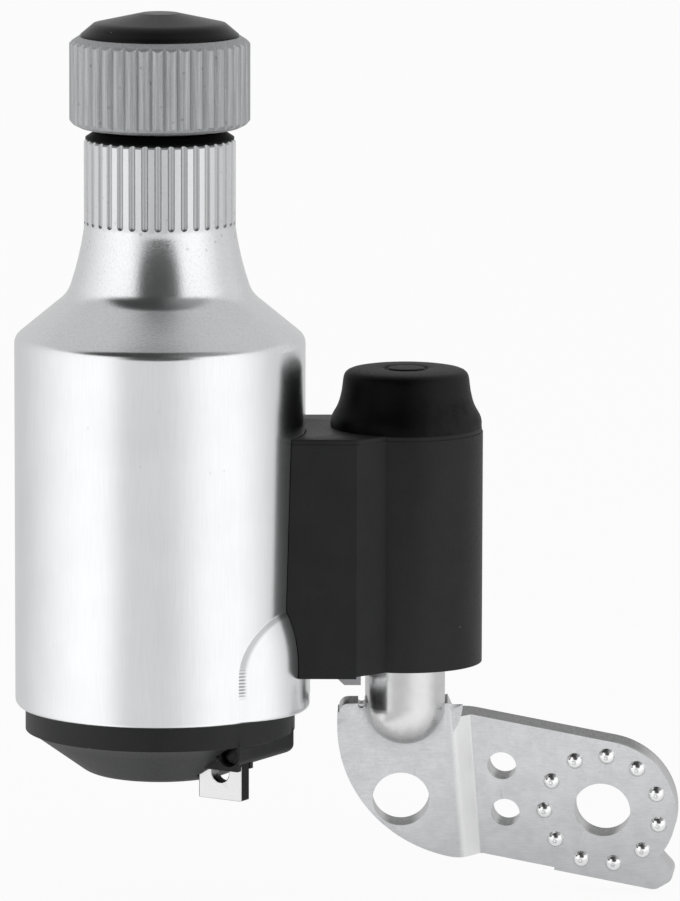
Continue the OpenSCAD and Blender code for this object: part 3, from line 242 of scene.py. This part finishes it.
def shell_aluminium():
    """Satin aluminium with a fine upright grain and a few tiny pits. It is sandy above the wall,
    dulled and sooty at the knurled neck with painted shade in its grooves, and has painted shade
    along the crease round the bulges, broken into ticks low down. Radii are from the bottle's axis
    and heights above the shell's foot, in millimetres."""
    neck_r, groove_depth, knurl_h = 10.5, 0.3, 12.2
    wall_r, sandy_foot = 20.2, 50.0
    crease_foot, tick_top, line_foot, crease_top = 3.4, 6.5, 8.5, 15.2
    mat, sh, surface = material("shell_aluminium", metallic=1.0)
    mm = sh.place()
    away = sh.away_from(BOTTLE)
    above = sh.height(foot_of("body_shell"))
    knurl_foot = (top_of("body_shell") - foot_of("body_shell")) / MM - knurl_h
    knurl = sh.ramp(above, knurl_foot, knurl_foot + 0.5)
    sandy = sh.ramp(above, sandy_foot, sandy_foot + 2.0)

    grain = sh.noise(sh.place(stretch=(6.0, 6.0, 0.25)), 1.0, 4.0, 0.6)
    cloud = sh.noise(mm, 0.12, 2.0)
    fine = sh.noise(mm, 5.0, 3.0, 0.7)
    pits = sh.specks(mm, 0.42, 0.08, 0.35)
    tone = sh.ramp(sh.math("ADD", sh.times(grain, 0.5), sh.times(cloud, 0.5)), 0.3, 0.7)
    colour = sh.mix(tone, grey(0.81, 0.012), grey(0.86, 0.012))
    colour = sh.mix(sh.times(pits, 0.4), colour, grey(0.5))

    # Painted shade along the crease where the bulges meet the wall, broken into ticks low down
    crease = sh.times(
        sh.band(away, wall_r + 0.01, wall_r + 0.05, wall_r + 0.2, wall_r + 0.4),
        sh.ramp(above, crease_top, crease_top + 1.0, 1.0, 0.0),
    )
    ticks = sh.ramp(sh.waves(mm, 0.7, 1.5), 0.35, 0.65, 0.25, 1.0)
    line = sh.between(sh.ramp(above, tick_top, line_foot, 1.0, 0.0), 0.62, ticks)
    line = sh.times(line, sh.ramp(above, crease_foot, crease_foot + 1.2), 0.9)
    colour = sh.mix(sh.times(crease, line), colour, grey(0.25))

    sand = sh.ramp(sh.noise(mm, 2.6, 4.0, 0.85), 0.45, 0.65, 0.0, 0.16)
    colour = sh.mix(sh.times(sand, sandy), colour, grey(0.42))
    soot = sh.times(sh.specks(mm, 1.1, 0.35, 0.18), sh.ramp(above, knurl_foot - 6.0, knurl_foot))
    colour = sh.mix(sh.times(soot, 0.45), colour, grey(0.3))
    colour = sh.mix(sh.times(knurl, 0.55), colour, grey(0.7, 0.01))
    # Painted shade in the floors of the knurl's grooves
    groove = sh.times(sh.ramp(away, neck_r - groove_depth, neck_r - 0.005, 1.0, 0.0), knurl)
    join(sh, sh.mix(sh.times(groove, 0.85), colour, grey(0.47, 0.01)), surface, "Base Color")

    satin = sh.ramp(fine, 0.25, 0.75, 0.17, 0.24)
    join(sh, sh.math("ADD", satin, sh.times(knurl, 0.2)), surface, "Roughness")
    polished = sh.bump(sh.math("SUBTRACT", sh.times(fine, 0.1), pits), 0.02, 0.4)
    frost = sh.times(sh.noise(mm, 3.2, 2.0, 0.6), sandy)
    join(sh, sh.bump(frost, 0.012, 0.6, polished), surface, "Normal")
    return mat


def cast_zinc():
    """Matt die-cast metal with a sandy skin and soot, and painted light in its grooves to lift
    their shade, for the roller.
    """
    crest_r = 12.5
    mat, sh, surface = material("cast_zinc", metallic=1.0)
    mm = sh.place()
    sand = sh.noise(mm, 4.0, 4.0, 0.7)
    streak = sh.noise(sh.place(stretch=(5.0, 5.0, 0.12)), 1.0, 3.0)
    tone = sh.ramp(sh.math("ADD", sh.times(sand, 0.4), sh.times(streak, 0.6)), 0.35, 0.65)
    colour = sh.mix(tone, grey(0.40, 0.02), grey(0.56, 0.02))
    # Painted light: the valleys between the ribs are made paler to lift their shade
    valley = sh.times(
        sh.ramp(sh.away_from(BOTTLE), crest_r - 0.75, crest_r - 0.25, 1.0, 0.0),
        sh.ramp(sh.facing(2), 0.3, 0.6, 1.0, 0.0),
    )
    colour = sh.mix(sh.times(valley, 0.85), colour, grey(0.95, 0.02))
    soot = sh.specks(mm, 0.7, 0.22, 0.3)
    join(sh, sh.mix(sh.times(soot, 0.35), colour, grey(0.12)), surface, "Base Color")
    join(sh, sh.ramp(sand, 0.3, 0.7, 0.42, 0.6), surface, "Roughness")
    join(sh, sh.bump(sand, 0.08, 0.8), surface, "Normal")
    return mat


def zinc_plate():
    """Zinc-plated sheet: pale, slightly blue, with soft blotches. Its cut edges carry painted
    shade, lighter where they face sideways, and it has a painted highlight along the bend and on
    the slopes of the polished dimples, which stand in a ring round the origin."""
    ring_in_r, ring_out_r = 6.0, 10.4
    mat, sh, surface = material("zinc_plate", metallic=1.0)
    mm = sh.place()
    blotch = sh.noise(mm, 0.35, 4.0, 0.6)
    fine = sh.noise(mm, 3.0, 3.0, 0.6)
    scratch = sh.noise(sh.place(stretch=(0.6, 2.0, 5.0)), 1.0, 2.0)
    tone = sh.ramp(sh.math("ADD", sh.times(blotch, 0.6), sh.times(scratch, 0.4)), 0.3, 0.7)
    face = sh.mix(tone, grey(0.55, 0.015), grey(0.64, 0.015))

    # Painted highlight along the bend, picked out by the way the surface faces
    sideways = sh.facing(0)
    bend = sh.band(sideways, 0.35, 0.62, 0.68, 0.8)
    face = sh.mix(sh.times(bend, 0.9), face, grey(0.97))
    # Painted highlight on the slopes of the dimples; their low roughness below is a real polish
    spot = sh.split(mm)
    ring = sh.band(
        sh.length(spot[0], spot[2]), ring_in_r, ring_in_r + 0.6, ring_out_r - 0.4, ring_out_r
    )
    dimple = sh.times(ring, sh.band(sh.towards(WING_WAY), 0.3, 0.5, 0.955, 0.985))
    face = sh.mix(dimple, face, grey(0.9))

    # Painted shade on the cut edges, mottled, and lighter where they face sideways
    edge_mottle = sh.noise(sh.place(stretch=(3.0, 0.6, 3.0)), 1.0, 3.0)
    edge = sh.mix(edge_mottle, grey(0.16), grey(0.42))
    edge = sh.mix(sh.ramp(sideways, 0.3, 0.8), edge, grey(0.7))
    cut = sh.ramp(sh.facing(1), 0.3, 0.5, 1.0, 0.0)
    join(sh, sh.mix(sh.times(cut, 0.85), face, edge), surface, "Base Color")
    rough = sh.between(dimple, sh.ramp(fine, 0.3, 0.7, 0.34, 0.46), 0.12)
    join(sh, rough, surface, "Roughness")
    join(sh, sh.bump(fine, 0.02, 0.5), surface, "Normal")
    return mat


def bright_steel(name, value, rough_low, rough_high):
    """Plated steel with a fine turned grain, darker and rougher in patches towards the pin's foot.
    """
    mat, sh, surface = material(name, metallic=1.0)
    grain = sh.noise(sh.place(stretch=(1.0, 1.0, 9.0)), 1.0, 3.0, 0.6)
    cloud = sh.noise(sh.place(), 0.4, 3.0)
    polished = sh.mix(sh.ramp(cloud, 0.3, 0.7), grey(value * 0.94), grey(value))
    dome = sh.ramp(sh.height(foot_of("pivot_pin")), 1.0, 5.0, 1.0, 0.0)
    patchy = sh.ramp(sh.noise(sh.place(), 0.5, 4.0, 0.65), 0.3, 0.65, 0.45, 1.0)
    foot_patches = sh.times(dome, patchy)
    join(sh, sh.mix(foot_patches, polished, grey(value * 0.68)), surface, "Base Color")
    rough = sh.math("ADD", sh.ramp(grain, 0.3, 0.7, rough_low, rough_high), sh.times(dome, 0.12))
    join(sh, rough, surface, "Roughness")
    join(sh, sh.bump(grain, 0.005, 0.25), surface, "Normal")
    return mat


def terminal_steel():
    """The terminal's tab: bright on its faces, with painted shade at part strength in its hole, and
    full painted shade on its edges and where it runs up into its slot."""
    hole_r, slot_h = 1.45, 4.6
    mat, sh, surface = material("terminal_steel", metallic=1.0)
    grain = sh.noise(sh.place(stretch=(2.0, 2.0, 6.0)), 1.0, 3.0, 0.6)
    # Painted shade where the tab runs up into the block's slot
    inside = sh.ramp(sh.height(foot_of("wire_terminal")), slot_h, slot_h + 0.5)
    side = sh.ramp(sh.facing(1), 0.6, 0.75, 1.0, 0.0)
    spot = sh.split(sh.place(shift=tuple(-TAB_HOLE / MM)))
    across = sh.math(
        "ADD", sh.times(spot[0], math.cos(TAB_TURN)), sh.times(spot[1], math.sin(TAB_TURN))
    )
    from_hole = sh.length(across, spot[2])
    # Painted shade on the tab's narrow edges, at 0.6 of full in the wall of its hole
    outer = sh.times(side, sh.ramp(from_hole, hole_r, hole_r + 0.15, 0.6, 1.0))
    dark = sh.math("MAXIMUM", inside, outer)
    join(sh, sh.mix(dark, grey(0.72), grey(0.02)), surface, "Base Color")
    join(sh, sh.ramp(grain, 0.3, 0.7, 0.26, 0.34), surface, "Roughness")
    join(sh, sh.bump(grain, 0.003, 0.15), surface, "Normal")
    return mat


def moulded_plastic(name, value, rough_low, rough_high, dust, specular=0.5):
    """Moulded plastic with a fine texture and a little dust, and a little painted light from the
    floor where it faces down.
    """
    # Painted light from the floor: how much paler the downward faces are made
    fade = 0.016
    mat, sh, surface = material(name, IOR=1.5, Specular_IOR_Level=specular)
    mm = sh.place()
    skin = sh.noise(mm, 6.0, 3.0, 0.6)
    cloud = sh.noise(mm, 0.25, 3.0)
    motes = sh.specks(mm, 0.35, 0.07, dust)
    clean = sh.mix(sh.ramp(cloud, 0.3, 0.7), grey(value * 0.85, 0.02), grey(value * 1.15, 0.02))
    floor_light_mask = sh.ramp(sh.towards((0.0, 0.0, -1.0)), 0.25, 0.6, 0.0, fade / (value + fade))
    clean = sh.mix(floor_light_mask, clean, grey(value + fade, 0.04))
    join(sh, sh.mix(sh.times(motes, 0.5), clean, grey(0.16)), surface, "Base Color")
    join(sh, sh.ramp(skin, 0.3, 0.7, rough_low, rough_high), surface, "Roughness")
    join(sh, sh.bump(skin, 0.025, 0.5), surface, "Normal")
    return mat


def rubber(name, value, rough_low, rough_high, specular):
    """Smooth black rubber, with a faint patchy grey on the side away from the bottle: painted
    sheen, and partly a bloom on the rubber.
    """
    # Painted sheen, partly a real bloom: paler in patches towards the side away from the bottle
    sheen_start, sheen_full = -1.0, 7.5
    mat, sh, surface = material(name, IOR=1.5, Specular_IOR_Level=specular)
    mm = sh.place()
    skin = sh.noise(mm, 3.0, 4.0, 0.6)
    clean = sh.mix(sh.ramp(skin, 0.3, 0.7), grey(value * 0.8), grey(value * 1.2))
    across = sh.math("SUBTRACT", sh.split(mm)[0], PIN.x / MM)
    patchy = sh.ramp(sh.noise(mm, 0.3, 4.0, 0.6), 0.3, 0.55, 0.45, 1.0)
    sheen_and_bloom = sh.times(sh.ramp(across, sheen_start, sheen_full), patchy)
    join(sh, sh.mix(sheen_and_bloom, clean, grey(0.022)), surface, "Base Color")
    join(sh, sh.ramp(skin, 0.3, 0.7, rough_low, rough_high), surface, "Roughness")
    join(sh, sh.bump(skin, 0.02, 0.5), surface, "Normal")
    return mat


def plain_metal(name, colour, rough):
    """A hidden metal part: plain, with a faint cloud in its finish."""
    mat, sh, surface = material(name, metallic=1.0)
    cloud = sh.noise(sh.place(), 1.2, 3.0)
    dark = tuple(c * 0.85 for c in colour) + (1.0,)
    light = tuple(colour) + (1.0,)
    join(sh, sh.mix(sh.ramp(cloud, 0.3, 0.7), dark, light), surface, "Base Color")
    join(sh, sh.ramp(cloud, 0.3, 0.7, rough * 0.85, rough * 1.15), surface, "Roughness")
    return mat


def copper_winding():
    """Enamelled wire, wound in fine level turns, with painted shade in the dips between turns."""
    mat, sh, surface = material("copper_winding", metallic=1.0)
    turns = sh.waves(sh.place(), 0.8, 0.0)
    # Painted shade: darker in the dips between turns, in step with the bump
    enamel = sh.mix(turns, (0.24, 0.07, 0.02, 1.0), (0.62, 0.24, 0.08, 1.0))
    join(sh, enamel, surface, "Base Color")
    join(sh, sh.ramp(turns, 0.0, 1.0, 0.45, 0.28), surface, "Roughness")
    join(sh, sh.bump(turns, 0.1, 0.6), surface, "Normal")
    return mat


FINISHES = {
    "shell_aluminium": shell_aluminium(),
    "roller_metal": cast_zinc(),
    "zinc_steel": zinc_plate(),
    "pin_steel": bright_steel("pin_steel", 0.69, 0.18, 0.26),
    "black_plastic": moulded_plastic("hood_plastic", 0.011, 0.42, 0.58, 0.3, 0.3),
    "cap_plastic": moulded_plastic("cap_plastic", 0.003, 0.24, 0.34, 0.1, 0.14),
    "rubber": rubber("boot_rubber", 0.002, 0.4, 0.52, 0.07),
    "terminal_steel": terminal_steel(),
    "bronze": plain_metal("bronze", (0.55, 0.36, 0.16), 0.5),
    "brass": plain_metal("brass", (0.75, 0.52, 0.2), 0.3),
    "copper": copper_winding(),
    "iron": plain_metal("pressed_iron", (0.3, 0.3, 0.32), 0.45),
    "ferrite": plain_metal("ferrite", (0.08, 0.08, 0.085), 0.6),
    "inner_plastic": moulded_plastic("bobbin_plastic", 0.5, 0.4, 0.5, 0.0),
    "grey_metal": plain_metal("die_cast_arm", (0.4, 0.4, 0.42), 0.5),
    "steel": bright_steel("plain_steel", 0.62, 0.28, 0.4),
}
SLOTS = {entry["node"]: entry["material_slot"] for entry in frame["record"]["subparts"]}


def dress(node, finish):
    """Gives a CAD node its finish."""
    mesh = NODES[node].data
    mesh.materials.clear()
    mesh.materials.append(finish)


for node_name in NODES:
    dress(node_name, FINISHES[SLOTS[node_name]])


def round_edges(node, width_mm, segments, angle):
    """Breaks a CAD node's edges that are sharper than an angle, as a mould or a press does."""
    weld = NODES[node].modifiers.new("weld", "WELD")
    weld.merge_threshold = WELD_GAP
    bevel = NODES[node].modifiers.new("edges", "BEVEL")
    bevel.width = width_mm * MM
    bevel.segments = segments
    bevel.limit_method = "ANGLE"
    bevel.angle_limit = angle * DEG


def smooth_joins(node, angle):
    """Shades a CAD node smoothly across the shallow steps of its curved outline. Edges steeper
    than the angle stay sharp."""
    group = bpy.data.node_groups.new("smooth_joins", "GeometryNodeTree")
    for way in ("INPUT", "OUTPUT"):
        group.interface.new_socket("Geometry", in_out=way, socket_type="NodeSocketGeometry")
    make = group.nodes.new
    link = group.links.new
    start, end = make("NodeGroupInput"), make("NodeGroupOutput")
    merge = make("GeometryNodeMergeByDistance")
    merge.inputs["Distance"].default_value = WELD_GAP
    plain = make("GeometryNodeRemoveAttribute")
    plain.inputs["Name"].default_value = "custom_normal"
    faces = make("GeometryNodeSetShadeSmooth")
    edges = make("GeometryNodeSetShadeSmooth")
    edges.domain = "EDGE"
    edges.inputs["Shade Smooth"].default_value = False
    bend = make("GeometryNodeInputMeshEdgeAngle")
    steep = make("FunctionNodeCompare")
    steep.data_type = "FLOAT"
    steep.operation = "GREATER_THAN"
    steep.inputs["B"].default_value = angle * DEG
    link(start.outputs[0], merge.inputs["Geometry"])
    link(merge.outputs[0], plain.inputs["Geometry"])
    link(plain.outputs[0], faces.inputs["Geometry"])
    link(faces.outputs[0], edges.inputs["Geometry"])
    link(bend.outputs["Unsigned Angle"], steep.inputs["A"])
    link(steep.outputs[0], edges.inputs["Selection"])
    link(edges.outputs[0], end.inputs[0])
    NODES[node].modifiers.new("joins", "NODES").node_group = group


def add_object(name, data):
    """A new object in the scene."""
    piece = bpy.data.objects.new(name, data)
    bpy.context.scene.collection.objects.link(piece)
    return piece


def new_piece(name, bm, finish):
    """A piece of the part from a bmesh, smooth where its faces meet gently."""
    bmesh.ops.recalc_face_normals(bm, faces=bm.faces)
    mesh = bpy.data.meshes.new(name)
    bm.to_mesh(mesh)
    bm.free()
    mesh.shade_smooth()
    mesh.set_sharp_from_angle(angle=45 * DEG)
    mesh.materials.append(finish)
    piece = add_object(name, mesh)
    return piece


# Outline of the rubber boot, as distances from the pin's axis and heights above the hinge cover:
# up its hollowed flank, over its shoulder, across its crown, and down and up a shallow ring groove
BOOT_OUTSIDE = [
    (10.55, 0.0), (10.57, 1.3), (10.48, 1.85), (10.3, 2.3), (10.05, 2.75), (9.78, 3.2),
    (9.52, 3.75), (9.33, 4.3), (9.15, 5.0), (8.98, 5.8), (8.88, 6.6), (8.8, 7.3),
    (8.7, 7.8), (8.5, 8.17), (8.2, 8.42), (7.8, 8.59), (7.2, 8.7), (6.2, 8.79),
    (5.0, 8.82), (3.9, 8.82), (3.4, 8.8), (3.15, 8.7), (3.0, 8.58), (2.85, 8.54),
    (2.7, 8.58), (2.62, 8.68), (2.57, 8.8), (2.5, 8.87), (2.35, 8.9), (1.6, 8.91), (0.9, 8.91),
]
BOOT_INSIDE = [
    (0.9, 7.75), (4.0, 7.75), (7.2, 7.7), (7.7, 7.3), (7.9, 6.4), (8.2, 4.8), (8.7, 3.2),
    (9.4, 1.9), (9.6, 0.0),
]
BOOT_SIDES = 96
# Heights above the hinge cover between which the boot goes over from the bottle to the button
FLANGE_T = 0.7
FLANGE_HOLE = 9.7


def ring_over(bm, base, points, height):
    """A ring of vertices over flat points. They and the height are in millimetres from the base."""
    return [bm.verts.new(base + Vector((x, y, height)) * MM) for x, y in points]


def bridge(bm, lower, upper):
    """Faces between two rings with as many vertices."""
    count = len(lower)
    for i in range(count):
        j = (i + 1) % count
        bm.faces.new((lower[i], lower[j], upper[j], upper[i]))


def arc(radius, first, last, steps):
    """Flat points along an arc round the middle, from the first angle to the last."""
    angles = [first + (last - first) * i / steps for i in range(steps + 1)]
    return [(radius * math.cos(a), radius * math.sin(a)) for a in angles]


def lathe(bm, base, outline):
    """The rings of a turned form, joined in the order of its outline and open at both ends."""
    rings = []
    for radius, height in outline:
        circle = arc(radius, 0.0, 2 * math.pi, BOOT_SIDES)[:-1]
        rings.append(ring_over(bm, base, circle, height))
    for lower, upper in zip(rings, rings[1:]):
        bridge(bm, lower, upper)
    return rings


def rubber_boot():
    """The button's boot: a hollowed flank, and a nearly flat crown with a shallow ring groove round
    a raised disc."""
    base = Vector((PIN.x, PIN.y, top_of("hinge_cover")))
    bm = bmesh.new()
    rings = lathe(bm, base, BOOT_OUTSIDE)
    inner = lathe(bm, base, BOOT_INSIDE)
    bm.faces.new(rings[-1])
    bm.faces.new(inner[0][::-1])
    bridge(bm, inner[-1], rings[0])
    piece = new_piece("rubber_boot", bm, FINISHES["rubber"])
    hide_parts("button_boot")
    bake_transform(piece)


def flange_outline():
    """Outline of the cover's roof, seen from above, in millimetres from the pin's axis: round the
    pin, over a corner to the front face, back along the bottle's wall, and to the rear corner."""
    roof_r, valley = 10.6, -105.3 * DEG
    bottle_r, front_in = 20.27, 8.45
    face_end = -7.16
    rear_x, rear_y = 13.5, 15.13
    rear_corner = (-8.0, 10.35)
    chamfer_x, chamfer_y = 0.8, 0.25
    off = (BOTTLE - PIN) / MM
    front = off.y - front_in
    wall = arc(bottle_r, -math.asin(front_in / bottle_r), math.atan2(rear_y, rear_x), 24)
    return [
        *arc(roof_r, 90 * DEG, valley, 60),
        (face_end + chamfer_x, front + chamfer_y),
        (face_end, front),
        *[(off.x + x, off.y + y) for x, y in wall],
        rear_corner,
    ]


def at_reach(point, reach):
    """A flat point moved along its line from the middle until it is that far from it."""
    share = reach / math.hypot(*point)
    return (point[0] * share, point[1] * share)


def boot_flange():
    """Flat flange of the boot on the cover's roof, with a rounded upper edge."""
    base = Vector((PIN.x, PIN.y, top_of("hinge_cover")))
    outline = flange_outline()
    edge = [(0.0, 0.0), (0.0, FLANGE_T - 0.2), (0.06, FLANGE_T - 0.06), (0.2, FLANGE_T)]
    bm = bmesh.new()
    rings = []
    for inset, height in edge:
        points = [at_reach(point, math.hypot(*point) - inset) for point in outline]
        rings.append(ring_over(bm, base, points, height))
    hole = [at_reach(point, FLANGE_HOLE) for point in outline]
    for height in (FLANGE_T, 0.0):
        rings.append(ring_over(bm, base, hole, height))
    for lower, upper in zip(rings, rings[1:] + rings[:1]):
        bridge(bm, upper, lower)
    piece = new_piece("boot_flange", bm, FINISHES["black_plastic"])
    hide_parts("button_boot")
    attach(piece, "bottle")


def coil_spring(node, wire_mm, turns):
    """A round wire coil in place of a faceted one."""
    low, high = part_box(node)
    axis = (low + high) / 2
    wire = wire_mm * MM / 2
    mean_r = (high.x - low.x) / 2 - wire
    height = high.z - low.z
    climb = (height - 2 * wire) / turns
    per_turn, sides = 24, 10
    slices = [2 * math.pi * k / sides for k in range(sides)]
    bm = bmesh.new()
    rings = []
    for i in range(turns * per_turn + 1):
        a = 2 * math.pi * i / per_turn
        out = Vector((math.cos(a), math.sin(a), 0.0))
        flow = Vector((-math.sin(a), math.cos(a), climb / (2 * math.pi * mean_r)))
        up = out.cross(flow).normalized()
        level = low.z + wire + climb * i / per_turn
        centre = Vector((axis.x, axis.y, level)) + out * mean_r
        spokes = [out * math.cos(b) - up * math.sin(b) for b in slices]
        rings.append([bm.verts.new(centre + spoke * wire) for spoke in spokes])
    for lower, upper in zip(rings, rings[1:]):
        bridge(bm, lower, upper)
    bm.faces.new(rings[0][::-1])
    bm.faces.new(rings[-1])
    piece = new_piece(node + "_wire", bm, FINISHES["steel"])
    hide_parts(node)
    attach(piece, "bottle")
    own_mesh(piece)


rubber_boot()
boot_flange()
coil_spring("button_spring", 0.6, 7)
coil_spring("terminal_spring", 0.4, 7)

smooth_joins("body_shell", 16)
# Width in millimetres and steps of the rounding, and the least angle in degrees that gets it
ROUNDED = {
    "hinge_cover": (0.5, 3, 32),
    "bottom_cover": (0.2, 2, 32),
    "roller_cap": (0.25, 2, 32),
    "wire_terminal": (0.15, 2, 32),
    "bracket_plate": (0.12, 2, 40),
    "hinge_arm": (0.2, 2, 32),
}
for node_name, rounding in ROUNDED.items():
    round_edges(node_name, *rounding)


# Studio: floor, world, lamps
FLOOR_Z = CAD_BOX[0][2] - 0.5 * MM
FLOOR_SIZE = 12.0
# How much of the floor's own colour and shadow is turned to white for the camera
FLOOR_WHITE = 0.93
# Brightness of the room in a reflection, what the side panels add, and what the back lacks
ROOM = 0.76
PANEL = 0.44
BACK = 0.10


def compass(sh, x, y):
    """Angle round the bottle of a direction: 0 at the camera's side, positive to the right."""
    return sh.math("ARCTAN2", x, sh.math("MULTIPLY", y, -1.0))


def round_light(sh, side):
    """Brightness of the studio by its angle round the bottle: two wide bright panels at the sides
    of the camera, a greyer gap between them, and a dimmer room behind."""
    right = sh.band(side, 2 * DEG, 46 * DEG, 60 * DEG, 104 * DEG)
    left = sh.band(side, -130 * DEG, -58 * DEG, -46 * DEG, -20 * DEG)
    behind = sh.ramp(sh.math("ABSOLUTE", side), 110 * DEG, 150 * DEG)
    panels = sh.times(sh.math("ADD", left, right), PANEL)
    return sh.math("SUBTRACT", sh.math("ADD", panels, ROOM), sh.times(behind, BACK))


def floor():
    """A wide pale floor: nearly white to the camera, and bright as the studio in a reflection."""
    half = FLOOR_SIZE / 2
    corners = [(-half, -half), (half, -half), (half, half), (-half, half)]
    mesh = bpy.data.meshes.new("floor")
    mesh.from_pydata([(x, y, FLOOR_Z) for x, y in corners], [], [(0, 1, 2, 3)])
    piece = add_object("floor", mesh)
    mat = bpy.data.materials.new("floor")
    mat.use_nodes = True
    sh = Shader(mat.node_tree)
    rays = sh.add("ShaderNodeLightPath").outputs
    spot = sh.split(sh.place(shift=(-BOTTLE.x / MM, -BOTTLE.y / MM, 0.0)))
    light = round_light(sh, compass(sh, spot[0], spot[1]))
    paint = sh.add("ShaderNodeBsdfDiffuse", {"Color": grey(0.9)})
    white = sh.add("ShaderNodeEmission", {"Color": grey(1.0), "Strength": 1.0})
    mirror = sh.add("ShaderNodeEmission", {"Color": grey(1.0), "Strength": light})
    seen = sh.choose(sh.times(rays["Is Camera Ray"], FLOOR_WHITE), paint, white)
    both = sh.choose(rays["Is Glossy Ray"], seen, mirror)
    sh.add("ShaderNodeOutputMaterial", {"Surface": both.outputs[0]})
    mesh.materials.append(mat)


def studio_world():
    """The same studio above the floor, with a dark card over the camera, rounded at its lower end,
    and a ceiling with a dim patch in front."""
    card_level, card_drop, card_half, card_light = 24 * DEG, 17 * DEG, 31 * DEG, 0.05
    roof_start, roof_full, roof_light = 28 * DEG, 40 * DEG, 0.62
    patch_x, patch_y, patch_half_x, patch_half_y = -0.05, -0.47, 0.82, 0.42
    fill_light = 0.55
    world = bpy.data.worlds.new("studio")
    bpy.context.scene.world = world
    world.use_nodes = True
    sh = Shader(world.node_tree)
    x, y, z = sh.split(sh.add("ShaderNodeTexCoord").outputs["Generated"])
    up = sh.math("ARCSINE", z)
    side = compass(sh, x, y)

    below = sh.math("MAXIMUM", sh.math("SUBTRACT", card_level, up), 0.0)
    sink = sh.math("DIVIDE", below, card_drop)
    wide = sh.math("DIVIDE", sh.math("ABSOLUTE", side), card_half)
    card = sh.ramp(sh.length(sink, wide), 0.72, 1.2, 0.96, 0.0)

    across = sh.math("DIVIDE", sh.math("SUBTRACT", x, patch_x), patch_half_x)
    along = sh.math("DIVIDE", sh.math("SUBTRACT", y, patch_y), patch_half_y)
    outside = sh.ramp(sh.length(across, along), 0.85, 1.45)
    patch_light = sh.ramp(x, patch_x, 0.6, 0.05, 0.34)
    roof = sh.between(outside, patch_light, roof_light)

    light = sh.between(card, round_light(sh, side), card_light)
    light = sh.between(sh.ramp(up, roof_start, roof_full), light, roof)
    rays = sh.add("ShaderNodeLightPath").outputs
    plain = sh.add("ShaderNodeBackground", {"Color": grey(1.0), "Strength": fill_light})
    mirror = sh.add("ShaderNodeBackground", {"Color": grey(1.0), "Strength": light})
    white = sh.add("ShaderNodeBackground", {"Color": grey(1.0), "Strength": 1.0})
    lit = sh.choose(rays["Is Glossy Ray"], plain, mirror)
    both = sh.choose(rays["Is Camera Ray"], lit, white)
    sh.add("ShaderNodeOutputWorld", {"Surface": both.outputs[0]})


# The point that the camera and the lamps are aimed at
TARGET = Vector((-0.03725, BOTTLE.y, 0.0521))


def way_to(azimuth, elevation):
    """Direction from the object, by angles in degrees. Azimuth 0 is the camera's side, positive to
    the right."""
    a, e = azimuth * DEG, elevation * DEG
    return Vector((math.sin(a) * math.cos(e), -math.cos(a) * math.cos(e), math.sin(e)))


def softbox(name, azimuth, elevation, distance, width, height, radiance):
    """A rectangular lamp aimed at the object."""
    way = way_to(azimuth, elevation)
    lamp = bpy.data.lights.new(name, "AREA")
    lamp.shape = "RECTANGLE"
    lamp.size = width
    lamp.size_y = height
    lamp.energy = radiance * math.pi * width * height
    piece = add_object(name, lamp)
    piece.location = TARGET + way * distance
    piece.rotation_euler = (-way).to_track_quat("-Z", "Y").to_euler()
    piece.visible_glossy = False


def camera():
    """The photograph's viewpoint: a long lens from a little above."""
    azimuth, elevation, roll = 0.15, 8.74, 0.153
    distance, lens_mm = 1.138, 327.2
    cam = bpy.data.cameras.new("camera")
    cam.sensor_fit = "AUTO"
    cam.sensor_width = 36.0
    cam.lens = lens_mm
    cam.clip_end = 50.0
    piece = add_object("camera", cam)
    back = way_to(azimuth, elevation)
    piece.location = TARGET + back * distance
    tilt = Quaternion((0.0, 0.0, 1.0), roll * DEG)
    piece.rotation_euler = ((-back).to_track_quat("-Z", "Y") @ tilt).to_euler()
    bpy.context.scene.camera = piece


floor()
studio_world()
softbox("left_softbox", -58, 14, 1.0, 0.8, 0.8, 0.5)
softbox("right_softbox", 56, 14, 1.0, 0.7, 0.8, 0.5)
softbox("top_softbox", 10, 78, 1.1, 0.8, 0.8, 0.4)
camera()
bpy.context.scene.view_settings.view_transform = "Standard"
